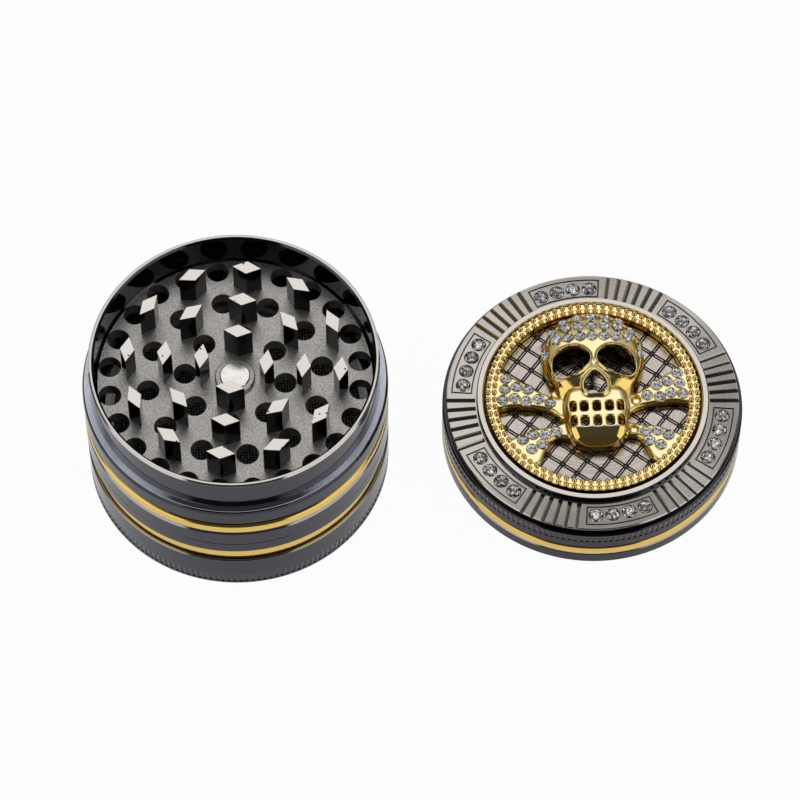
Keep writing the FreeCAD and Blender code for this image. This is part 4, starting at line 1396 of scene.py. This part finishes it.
@dataclass
class Medallion:
    """The gold skull over crossed bones in its beaded ring, with its stones.

    Levels are heights in the row frame. Outlines are seen from above, and those of the skull are about its
    own middle line, which the shift sets off from the axis.
    """

    turn: float = -1.53
    shift: float = 0.5
    base: float = 13.0
    foot: float = 11.4
    hollow_floor: float = 12.0
    dome_centre: float = 9.2
    dome_radius: float = 10.9
    dome_height: float = 5.15
    dome_power: float = 3.1
    wall: float = 1.0
    face: float = 17.6
    face_rounding: float = 1.5
    rim_reach: float = 0.97
    rim_rise: float = 1.2
    eye_rim: float = 0.36
    eye_rim_lift: float = 0.1
    nose_rim: float = 0.5
    nose_rim_lift: float = 0.2
    nose_floor: float = 14.6
    opening_top: float = 20.0
    opening_rounding: float = 0.05
    jaw_hollow: tuple[float, float, float] = (4.9, -9.4, -1.7)
    jaw_roof: float = 1.3
    tooth_half_height: float = 1.14
    tooth_corner: float = 0.5
    tooth_levels: tuple[float, float] = (15.0, 19.0)
    bone_top: float = 14.85
    bone_rounding: float = 0.6
    bar_half: tuple[float, float] = (8.6, 1.6)
    bar_top: float = 14.4
    bush_levels: tuple[float, float] = (11.0, 16.0)
    back_reach: float = 30.0
    back_depth: float = 6.0
    voxel: float = 0.17
    smoothing: int = 4
    stone_radius: float = 1.2
    skull_seed: int = 11
    bone_seed: int = 23
    seat_radius: float = 1.05
    seat_taper: float = 0.85
    seat_depth: float = 0.62
    seat_above: float = 0.8
    cup_gap: float = 0.02
    bead_radius: float = 0.63
    bead_level: float = 14.88

    CHEEKS = ((0.0, 6.2), (9.6, 6.0), (10.1, 4.2), (9.1, 1.4), (7.8, -0.5), (6.5, -2.4), (0.0, -2.6))
    CHEEK_PLANES = (((0.0, 4.6, 17.7), (0.0, -0.48, 1.0)), ((5.8, 2.5, 16.7), (0.45, -0.4, 1.0)),
                    ((-5.8, 2.5, 16.7), (-0.45, -0.4, 1.0)), ((7.7, 2.2, 15.75), (1.7, -0.6, 1.0)),
                    ((-7.7, 2.2, 15.75), (-1.7, -0.6, 1.0)))
    JAW = ((0.0, 0.7), (5.4, 0.7), (6.5, -1.2), (6.4, -6.6), (5.8, -9.4), (4.3, -11.5), (0.0, -12.4))
    CHIN_PLANES = (((0.0, -8.9, 17.55), (0.0, -0.3, 1.0)), ((4.5, -8.9, 17.55), (0.427, -0.462, 1.0)),
                   ((-4.5, -8.9, 17.55), (-0.427, -0.462, 1.0)), ((0.0, -11.0, 16.9), (0.0, -1.3, 1.0)))
    BROW = ((6.0, 16.2), (1.5, 3.2, 2.2))
    EYE = ((0.75, 7.5), (2.0, 9.7), (4.4, 10.3), (7.2, 9.3), (8.7, 6.3), (7.9, 3.2), (5.2, 3.4), (2.1, 5.1))
    NOSE = ((0.0, 4.4), (1.6, 3.1), (2.5, 1.0), (1.9, -0.8), (0.0, -1.0))
    UPPER_BONE = ((5.5, -5.2), (9.0, -3.1), (12.5, -2.2), (17.0, -1.8), (20.9, -1.9), (20.6, 2.5),
                  (19.4, 6.7), (16.5, 5.3), (13.6, 3.5), (11.5, 1.9), (9.0, 0.5), (5.5, -1.4))
    LOWER_BONE = ((4.5, -9.6), (7.6, -9.5), (9.3, -10.2), (10.3, -12.0), (13.1, -16.1), (16.0, -13.4),
                  (18.2, -10.4), (15.6, -8.6), (12.6, -7.4), (9.0, -6.9), (4.5, -6.2))
    UPPER_STONES = ((9.0, -1.3), (11.4, -0.3), (14.0, -0.7), (16.4, 0.1), (18.9, -0.2), (13.5, 2.05),
                    (15.8, 2.85), (18.3, 2.35), (18.0, 4.85))
    LOWER_STONES = ((8.1, -8.2), (10.5, -8.9), (13.0, -8.8), (15.2, -9.95), (11.2, -11.1), (13.4, -12.2))
    STONE_ROWS = ((9.3, 2, 9.9, 0.0), (12.8, 9, 10.1, 0.8), (15.4, 7, 8.1, 1.0), (17.8, 5, 5.8, 1.0))
    TEETH_ROWS = (-3.9, -7.4)
    TEETH_COLUMNS = ((-5.0, 0.72), (-2.65, 0.8), (0.0, 0.8), (2.65, 0.8), (5.0, 0.72))
    RING = ((20.25, 13.0), (22.35, 13.0), (22.42, 13.2), (22.42, 14.6), (22.3, 14.8), (21.55, 14.8),
            (21.5, 14.95), (21.1, 14.95), (21.05, 14.8), (20.35, 14.8), (20.2, 14.6), (20.2, 13.2))
    BEAD_ROWS = ((21.95, 80), (20.65, 76))
    CUP = ((0.0, -0.3), (0.12, -0.3), (0.1, 0.02), (0.05, 0.06), (0.0, 0.03))

    def build(self) -> None:
        """Make the casting, the ring, the rims and the stones."""
        skull, bones, empty = self.stone_seats()
        for piece in (self.casting(), self.ring(), self.cups(skull + bones + empty)):
            settle(piece, "medallion", "medallion_gold", "medallion")
        for name, seats, seed, node in (("skull_brilliants", skull, self.skull_seed, "skull_stones"),
                                        ("bone_brilliants", bones, self.bone_seed, "bone_stones")):
            stones = CutStone().scatter(name, seats, self.stone_radius, seed, self.place(), Finishes.FOIL)
            settle(stones, "medallion", "clear_stone", node)

    def place(self) -> Matrix:
        """The step from the medallion's own millimetres to the row frame."""
        return Axis.LID.matrix(self.turn)

    def dome(self, inset: float, foot: float) -> Shape:
        """The cranium's dome.

        Args:
            inset: how far it is drawn in.
            foot: the level that it runs down to.

        Returns:
            The dome's shape.
        """
        power = 2 / self.dome_power
        steps = 20
        outline = [(0.0, foot), (self.dome_radius - inset, foot)]
        for index in range(steps + 1):
            angle = index / steps * math.pi / 2
            across = math.cos(angle) ** power if index < steps else 0.0
            outline.append(((self.dome_radius - inset) * across,
                            self.base + (self.dome_height - inset) * math.sin(angle) ** power))
        shape = Shape().spin(outline, steps=72, closed=False).clean()
        bmesh.ops.translate(shape.bm, verts=shape.bm.verts, vec=(self.shift, self.dome_centre, 0))
        return shape

    def on_dome(self, across: float, up: float) -> Seat:
        """Point and outward direction on the dome.

        Args:
            across: the place to the right of the skull's middle line.
            up: the place along that line.

        Returns:
            The point and the direction.
        """
        level = Vector((across, up - self.dome_centre))
        share = max(level.length / self.dome_radius, 1e-4)
        rest = 1 - share ** self.dome_power
        rise = rest ** (1 / self.dome_power)
        slope = share ** (self.dome_power - 1) * rest ** (1 / self.dome_power - 1)
        slope *= self.dome_height / self.dome_radius
        outward = level.normalized() * slope
        return (Vector((across + self.shift, up, self.base + self.dome_height * rise)),
                Vector((outward.x, outward.y, 1.0)))

    def rim(self, outline: Sequence[Point]) -> list[Vector]:
        """An eye's outline laid on the dome or the face, whichever is higher.

        Args:
            outline: the eye's outline.

        Returns:
            Places that its rim goes through.
        """
        laid = []
        for across, up in outline:
            inside = Vector((across, up - self.dome_centre)).length < self.dome_radius * self.rim_reach
            level = self.on_dome(across, up)[0].z if inside else self.base
            height = max(level, min(self.face, level + self.rim_rise)) + self.eye_rim_lift
            laid.append(Vector((across + self.shift, up, height)))
        return laid

    def both(self, outline: Sequence[Point]) -> list[list[Point]]:
        """An outline and its mirror image about the skull's middle line."""
        return [list(outline), [(-across, up) for across, up in reversed(outline)]]

    def whole(self, half: Sequence[Point]) -> list[Point]:
        """A closed outline from its right-hand half, whose ends may lie on the middle line."""
        return list(half) + [(-across, up) for across, up in reversed(half) if across > 0]

    def shifted(self, outline: Sequence[Point]) -> list[Point]:
        """An outline moved to the skull's middle line."""
        return [(across + self.shift, up) for across, up in outline]

    def casting(self) -> bpy.types.Object:
        """Skull, bones and pivot bar as one hollow casting.

        Returns:
            The piece.
        """
        solid = Shape().take(self.dome(0.0, self.foot).mesh("dome"))
        for outline, planes in ((self.CHEEKS, self.CHEEK_PLANES), (self.JAW, self.CHIN_PLANES)):
            part = Shape().plate(self.whole(outline), self.foot, self.face, self.face_rounding).clean()
            for point, slope in planes:
                part.facet(point, slope)
            solid.take(part.mesh("part"), Matrix.Translation((self.shift, 0, 0)))
        for outline in self.both(self.EYE):
            solid.tube(self.rim(outline), self.eye_rim)
        nose_level = self.face + self.nose_rim_lift
        solid.tube([(*point, nose_level) for point in self.shifted(self.whole(self.NOSE))], self.nose_rim)
        brow, brow_radii = self.BROW
        solid.ball((self.shift, *brow), brow_radii)
        for bone in (self.UPPER_BONE, self.LOWER_BONE):
            for outline in self.both(bone):
                solid.plate(outline, self.foot, self.bone_top, self.bone_rounding)
        across, along = self.bar_half
        solid.block((-across, -along, self.foot), (across, along, self.bar_top))
        mesh = remeshed(solid.mesh("casting"), self.voxel, self.cutters(), self.smoothing)
        return stand(mesh, "skull_casting", self.place(), [Finishes.GOLD], sharp=50)

    def cutters(self) -> list[bpy.types.Mesh]:
        """What is cut out of the casting: its hollow, the face's openings, the level back and the seats.

        Returns:
            The cutters' meshes.
        """
        hollow = self.dome(self.wall, self.hollow_floor)
        jaw = Shape()
        half, near, far = self.jaw_hollow
        jaw.block((self.shift - half, near, self.hollow_floor),
                  (self.shift + half, far, self.face - self.jaw_roof))
        back = Shape()
        back.block((-self.back_reach, -self.back_reach, self.base - self.back_depth),
                   (self.back_reach, self.back_reach, self.base))
        low, high = (Vector(corner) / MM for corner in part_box("pivot_bush"))
        bush = (high.x - low.x) / 2
        foot, top = self.bush_levels
        bush_hole = Shape().spin(((0.0, foot), (bush, foot), (bush, top), (0.0, top)), steps=32, closed=False)
        shapes = (hollow, jaw, self.openings(), back, bush_hole, self.stone_hollows())
        return [shape.clean().mesh("cutter") for shape in shapes]

    def openings(self) -> Shape:
        """The eyes, the nose and the gaps between the teeth.

        Returns:
            Their shape.
        """
        shape = Shape()
        for outline in self.both(self.EYE):
            shape.plate(self.shifted(outline), self.hollow_floor, self.opening_top, self.opening_rounding)
        nose = self.shifted(self.whole(self.NOSE))
        shape.plate(nose, self.nose_floor, self.opening_top, self.opening_rounding)
        floor, top = self.tooth_levels
        for row in self.TEETH_ROWS:
            for column, half in self.TEETH_COLUMNS:
                corners = shape.block((self.shift + column - half, row - self.tooth_half_height, floor),
                                      (self.shift + column + half, row + self.tooth_half_height, top))
                edges = {edge for corner in corners for edge in corner.link_edges}
                upright = [edge for edge in edges if abs(edge.verts[0].co.z - edge.verts[1].co.z) > 1]
                bmesh.ops.bevel(shape.bm, geom=upright, offset=self.tooth_corner, offset_type="OFFSET",
                                affect="EDGES", segments=3, profile=0.5, material=-1)
        return shape

    def stone_hollows(self) -> Shape:
        """The hollows that the stones sit in.

        Returns:
            Their shape.
        """
        shape = Shape()
        middle = Matrix.Translation((0, 0, (self.seat_above - self.seat_depth) / 2))
        for group in self.stone_seats():
            for centre, normal in group:
                bmesh.ops.create_cone(shape.bm, cap_ends=True, segments=20,
                                      radius1=self.seat_radius * self.seat_taper, radius2=self.seat_radius,
                                      depth=self.seat_above + self.seat_depth,
                                      matrix=facing(centre, normal) @ middle)
        return shape

    def ring(self) -> bpy.types.Object:
        """The round frame with its two rows of beads.

        Returns:
            The piece.
        """
        shape = Shape().spin(self.RING, steps=160)
        for radius, count in self.BEAD_ROWS:
            for index in range(count):
                angle = index / count * TURN
                centre = (radius * math.cos(angle), radius * math.sin(angle), self.bead_level)
                bmesh.ops.create_icosphere(shape.bm, subdivisions=2, radius=self.bead_radius,
                                           matrix=Matrix.Translation(centre))
        return shape.piece("beaded_ring", self.place(), [Finishes.GOLD], sharp=40)

    def stone_seats(self) -> tuple[list[Seat], list[Seat], list[Seat]]:
        """Seats of the skull's stones and of the bones' stones, and those left empty.

        Returns:
            The three lists of seats.
        """
        skull = []
        for middle, count, span, drop in self.STONE_ROWS:
            for index in range(count):
                side = index / (count - 1) * 2 - 1
                skull.append(self.on_dome(side * span, middle - drop * side ** 2))
        bones = []
        empty = []
        for group in (self.UPPER_STONES, self.LOWER_STONES):
            for index, (across, up) in enumerate(group):
                for side in (-1, 1):
                    seat = (Vector((side * across, up, self.bone_top)), Vector((0, 0, 1)))
                    (empty if side > 0 and index == 0 else bones).append(seat)
        return skull, bones, empty

    def cups(self, seats: Sequence[Seat]) -> bpy.types.Object:
        """A thin raised gold rim around each stone.

        Args:
            seats: where the stones sit.

        Returns:
            The piece.
        """
        inner = self.stone_radius + self.cup_gap
        section = [(inner + out, height) for out, height in self.CUP]
        single = Shape().spin(section, steps=16).clean().mesh("cup")
        shape = Shape().take_copies(single, [facing(centre, normal) for centre, normal in seats])
        return shape.piece("stone_rims", self.place(), [Finishes.GOLD], sharp=50)


# the studio

@dataclass
class Studio:
    """Pale floor, soft light from above and behind, and the photograph's camera."""

    azimuth: float = -3.87
    elevation: float = 60.18
    target: tuple[float, float, float] = (34.70, 10.24, 0.0)
    distance: float = 971.6
    lens: float = 205.3
    sensor: float = 36.0
    floor_size: float = 6.0
    floor_drop: float = 0.0002
    floor_grey: float = 0.86
    white_share: float = 0.97
    mirrored_share: float = 0.6
    softbox_width: float = 0.52
    softbox_height: float = 0.32
    softbox_shift: float = -0.03
    softbox_distance: float = 0.9
    softbox_radiance: float = 0.62
    room: float = 0.45
    screens: float = 1.0
    camera_side: float = 0.05
    low_back: float = 0.1

    WHITE = (1, 1, 1, 1)
    BACK_BEARING = (math.radians(80), math.radians(88))
    BACK_LOW = (0.55, 0.25)
    SCREEN_LEVEL = (0.9, 0.75)
    CAMERA_ASIDE = (0.5, 0.42)
    CAMERA_AWAY = (0.2, 0.08)

    def back(self, azimuth: float, elevation: float) -> Vector:
        """The direction from the object towards a viewer."""
        across, up = math.radians(azimuth), math.radians(elevation)
        return Vector((math.sin(across) * math.cos(up), -math.cos(across) * math.cos(up), math.sin(up)))

    def aimed(self, name: str, data: bpy.types.ID, place: Vector, target: Vector) -> bpy.types.Object:
        """An object at a place that points at a target.

        Args:
            name: its name.
            data: the camera or lamp that it carries.
            place: where it stands.
            target: what it points at.

        Returns:
            The object.
        """
        item = bpy.data.objects.new(name, data)
        item.location = place
        item.rotation_euler = (target - place).to_track_quat("-Z", "Y").to_euler()
        bpy.context.scene.collection.objects.link(item)
        return item

    def camera(self) -> None:
        """The photograph's camera."""
        data = bpy.data.cameras.new("photo_camera")
        data.lens = self.lens
        data.sensor_width = self.sensor
        data.clip_end = 50.0
        target = Vector(self.target) * MM
        place = target + self.back(self.azimuth, self.elevation) * self.distance * MM
        bpy.context.scene.camera = self.aimed("photo_camera", data, place, target)

    def floor(self) -> None:
        """A pale floor that looks white and keeps a faint shadow."""
        shape = Shape()
        bmesh.ops.create_grid(shape.bm, x_segments=2, y_segments=2, size=self.floor_size / 2)
        bmesh.ops.translate(shape.bm, verts=shape.bm.verts, vec=(0, 0, -self.floor_drop))
        mesh = shape.mesh("floor")
        material = bpy.data.materials.new("pale_floor")
        material.use_nodes = True
        material.node_tree.nodes.clear()
        graph = Graph(material.node_tree)
        path = graph.node("LightPath").outputs
        mirrored = graph.math("MAXIMUM", path["Is Glossy Ray"], path["Is Transmission Ray"])
        share = graph.math("MAXIMUM", graph.product(path["Is Camera Ray"], self.white_share),
                           graph.product(mirrored, self.mirrored_share))
        matt = graph.node("BsdfDiffuse", {"Color": (self.floor_grey, self.floor_grey, self.floor_grey, 1)})
        white = graph.node("Emission", {"Color": self.WHITE, "Strength": 1.0})
        both = graph.node("MixShader", {0: share, 1: matt.outputs[0], 2: white.outputs[0]})
        graph.node("OutputMaterial", {"Surface": both.outputs[0]})
        mesh.materials.append(material)
        floor = bpy.data.objects.new("floor", mesh)
        bpy.context.scene.collection.objects.link(floor)

    def world(self) -> None:
        """A pale room with white screens to both sides, dark behind the camera and low at the back."""
        world = bpy.data.worlds.new("studio_room")
        world.use_nodes = True
        world.node_tree.nodes.clear()
        graph = Graph(world.node_tree)
        turned = graph.node("Mapping", {"Vector": graph.node("TexCoord").outputs["Generated"],
                                        "Rotation": (0, 0, math.radians(-self.azimuth))})
        across, away, up = graph.split(turned.outputs["Vector"])
        aside = graph.math("ABSOLUTE", across)
        bearing = graph.math("ARCTAN2", aside, graph.product(away, -1.0))
        back = graph.step(bearing, *self.BACK_BEARING)
        low = graph.step(up, *self.BACK_LOW)
        dark = graph.product(graph.step(aside, *self.CAMERA_ASIDE), graph.step(away, *self.CAMERA_AWAY))
        level = graph.between(graph.step(up, *self.SCREEN_LEVEL), self.room, self.screens)
        level = graph.between(back, level, graph.between(low, self.room, self.low_back))
        level = graph.between(dark, level, self.camera_side)
        seen = graph.node("LightPath").outputs["Is Camera Ray"]
        shade = graph.node("Background", {"Color": self.WHITE, "Strength": graph.between(seen, level, 1.0)})
        graph.node("OutputWorld", {"Surface": shade.outputs[0]})
        bpy.context.scene.world = world

    def lights(self) -> None:
        """One softbox above and behind, which level faces mirror, set a little to the left."""
        data = bpy.data.lights.new("softbox", "AREA")
        data.shape = "RECTANGLE"
        data.size = self.softbox_width
        data.size_y = self.softbox_height
        data.energy = self.softbox_radiance * math.pi * self.softbox_width * self.softbox_height
        target = Vector(self.target) * MM
        sideways = self.back(self.azimuth + 90, 0.0) * self.softbox_shift
        place = target + self.back(self.azimuth + 180, self.elevation) * self.softbox_distance + sideways
        lamp = self.aimed("softbox", data, place, target)
        lamp.visible_camera = False

    def build(self) -> None:
        """Set the scene up."""
        bpy.context.scene.view_settings.view_transform = "Standard"
        self.camera()
        self.floor()
        self.world()
        self.lights()


def main() -> None:
    """Build the studio and every sub-assembly in order."""
    logging.basicConfig(level=logging.INFO, format="%(message)s")
    Studio().build()
    BodyLayers().build()
    LidShell().build()
    LatticePlate().build()
    Medallion().build()


if __name__ == "__main__":
    main()
